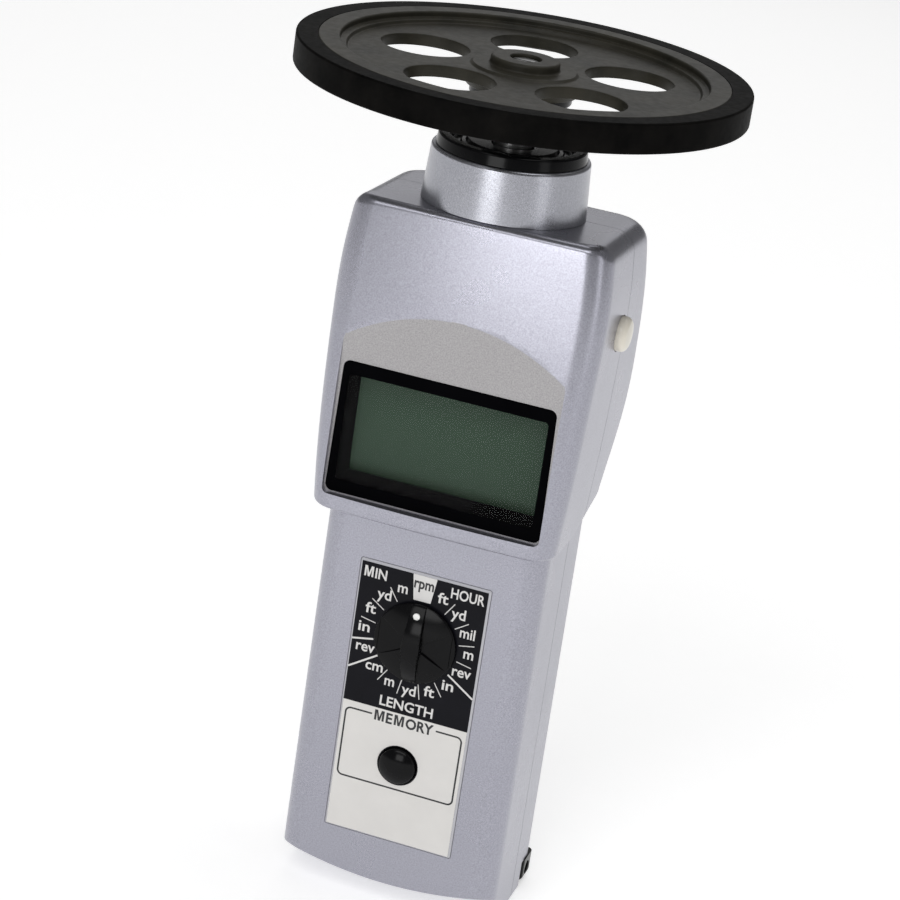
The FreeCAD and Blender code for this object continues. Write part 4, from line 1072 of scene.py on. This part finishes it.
def knob():
    """Round knob: a low dome with a raised pointer bar, a finger scoop on each side and a white dot."""
    high = mm_box("mode_knob")[1]
    dot_low, dot_high = mm_box("knob_dot")
    centre_z, dot_z = node_mid_z("mode_knob"), node_mid_z("knob_dot")
    body = dome(high.x, KNOB_CROWN, centre_z, high.y)
    carve(body, [finger_scoop(side, high.x, centre_z, high.y) for side in (-1, 1)])
    carve(body, [pointer_bar(high.x, centre_z, high.y)], "UNION")
    carve(body, [plug("y", solid_disc(KNOB_DOT_R, -REACH, dot_high.y), (0, 0, dot_z))])
    body.name = "mode_knob_body"
    shade(body, 24)
    bevelled(body, 0.09, 24)
    dress(body, "knob", "black_gloss", "mode_knob")
    profile = soften([(0, dot_high.y, 0), (KNOB_DOT_R, dot_high.y, 0), (KNOB_DOT_R, dot_low.y, 0.15),
                      (0, dot_low.y, 0)])
    cap = plug("y", profile, (0, 0, dot_z), 32)
    cap.name = "knob_dot_cap"
    dress(cap, "knob", "white_plastic", "knob_dot")


def memory_key():
    """Domed round key with a flange behind the front wall."""
    low, high = mm_box("memory_button")
    ball = low.y + MEMORY_DOME_R
    flange_r, flange = MEMORY_FLANGE
    reach = np.linspace(0, MEMORY_R - 0.15, 14)
    profile = [(t, ball - math.sqrt(MEMORY_DOME_R ** 2 - t * t)) for t in reach]
    edge = ball - math.sqrt(MEMORY_DOME_R ** 2 - MEMORY_R ** 2)
    profile += [(MEMORY_R, edge + 0.2), (MEMORY_R, high.y - flange), (flange_r, high.y - flange),
                (flange_r, high.y), (0, high.y)]
    cap = plug("y", profile, (0, 0, node_mid_z("memory_button")), 96)
    cap.name = "memory_key_cap"
    shade(cap, 35)
    dress(cap, "memory_key", "black_gloss", "memory_button")


def measure_key():
    """Round key with a low crown, a rounded edge, a flange behind the side wall and a stem."""
    low, high = mm_box("measure_button")
    flat, edge_r = MEASURE_R - MEASURE_EDGE_R, MEASURE_EDGE_R
    edge_x = high.x - MEASURE_CROWN - edge_r
    flange_r, inner, outer = MEASURE_FLANGE
    profile = [(t, high.x - MEASURE_CROWN * (t / flat) ** 2) for t in np.linspace(0, flat, 6)[:-1]]
    profile += [(flat + edge_r * math.sin(a), edge_x + edge_r * math.cos(a))
                for a in np.linspace(0, math.pi / 2, 9)]
    profile += [(MEASURE_R, low.x + outer), (flange_r, low.x + outer), (flange_r, low.x + inner),
                (MEASURE_STEM_R, low.x + inner), (MEASURE_STEM_R, low.x), (0, low.x)]
    cap = plug("x", profile, (0, (low.y + high.y) / 2, node_mid_z("measure_button")), 96)
    cap.name = "measure_key_cap"
    shade(cap, 35)
    dress(cap, "measure_key", "ivory_plastic", "measure_button")


def dress_inside():
    """Gives every CAD node its slot's material."""
    for part in frame["record"]["subparts"]:
        materials = frame["nodes"][part["node"]].data.materials
        materials.clear()
        materials.append(MATS[part["material_slot"]])


# ---- stage ----
FLOOR_HALF = 4000.0


def area_light(name, place, target, size, power):
    data = bpy.data.lights.new(name, "AREA")
    data.shape, data.size, data.size_y = "RECTANGLE", size[0], size[1]
    data.energy = power
    lamp = placed(name, data)
    lamp.location = place
    lamp.rotation_mode = "QUATERNION"
    lamp.rotation_quaternion = (Vector(target) - Vector(place)).to_track_quat("-Z", "Y")


def stage():
    floor = brick(-FLOOR_HALF, FLOOR_HALF, -FLOOR_HALF, FLOOR_HALF, -20, -0.3)
    floor.name = "floor"
    paper = moulded("floor_white", (0.86, 0.86, 0.86), 0.9, 0.2, 0.05, 0.01)
    glow = paper.node_tree.nodes["Principled BSDF"]
    glow.inputs["Emission Color"].default_value = (1, 1, 1, 1)
    glow.inputs["Emission Strength"].default_value = 0.5
    floor.data.materials.append(paper)
    world = bpy.data.worlds.new("studio")
    bpy.context.scene.world = world
    world.use_nodes = True
    sky = world.node_tree.nodes["Background"]
    sky.inputs["Color"].default_value = (1, 1, 1, 1)
    sky.inputs["Strength"].default_value = 0.16
    middle = (0, 0, 0.12)
    area_light("key", (-0.10, -1.60, 1.70), middle, (1.8, 1.2), 20)
    area_light("front", (-0.05, -0.62, 0.20), (0, 0, 0.165), (0.26, 0.20), 0.68)
    area_light("side_strip", (1.05, -0.42, 0.30), middle, (0.3, 0.6), 0.7)
    area_light("top", (0.2, 0.35, 1.3), middle, (1.2, 1.0), 5)
    area_light("back", (-0.35, 1.25, 0.60), middle, (0.9, 0.5), 0.9)


CAMERA_AZ = 15.49
CAMERA_EL = 20.555
CAMERA_ROLL = 8.687
CAMERA_TARGET = (0.0004, 0.0, 0.10806)
CAMERA_DISTANCE = 0.625
CAMERA_LENS = 113.33
CAMERA_SHIFT = (-0.0207, -0.0043)


def camera():
    data = bpy.data.cameras.new("camera")
    data.lens, data.sensor_width = CAMERA_LENS, 36.0
    data.shift_x, data.shift_y = CAMERA_SHIFT
    data.clip_start, data.clip_end = 0.01, 50
    cam = placed("camera", data)
    a, e = math.radians(CAMERA_AZ), math.radians(CAMERA_EL)
    back = Vector((math.sin(a) * math.cos(e), -math.cos(a) * math.cos(e), math.sin(e)))
    cam.location = Vector(CAMERA_TARGET) + back * CAMERA_DISTANCE
    turn = (-back).to_track_quat("-Z", "Y").to_matrix().to_4x4()
    roll = Matrix.Rotation(math.radians(CAMERA_ROLL), 4, "Z")
    cam.matrix_world = Matrix.Translation(cam.location) @ turn @ roll
    bpy.context.scene.camera = cam


bpy.context.scene.view_settings.view_transform = "Standard"
finish_casing()
battery_cover()
strap_lug()
neck_collar()
bearing_cap()
wheel_hub()
tyre()
wheel_adapter()
display()
label_plate()
cream_field()
panel_print()
knob()
memory_key()
measure_key()
dress_inside()
stage()
camera()
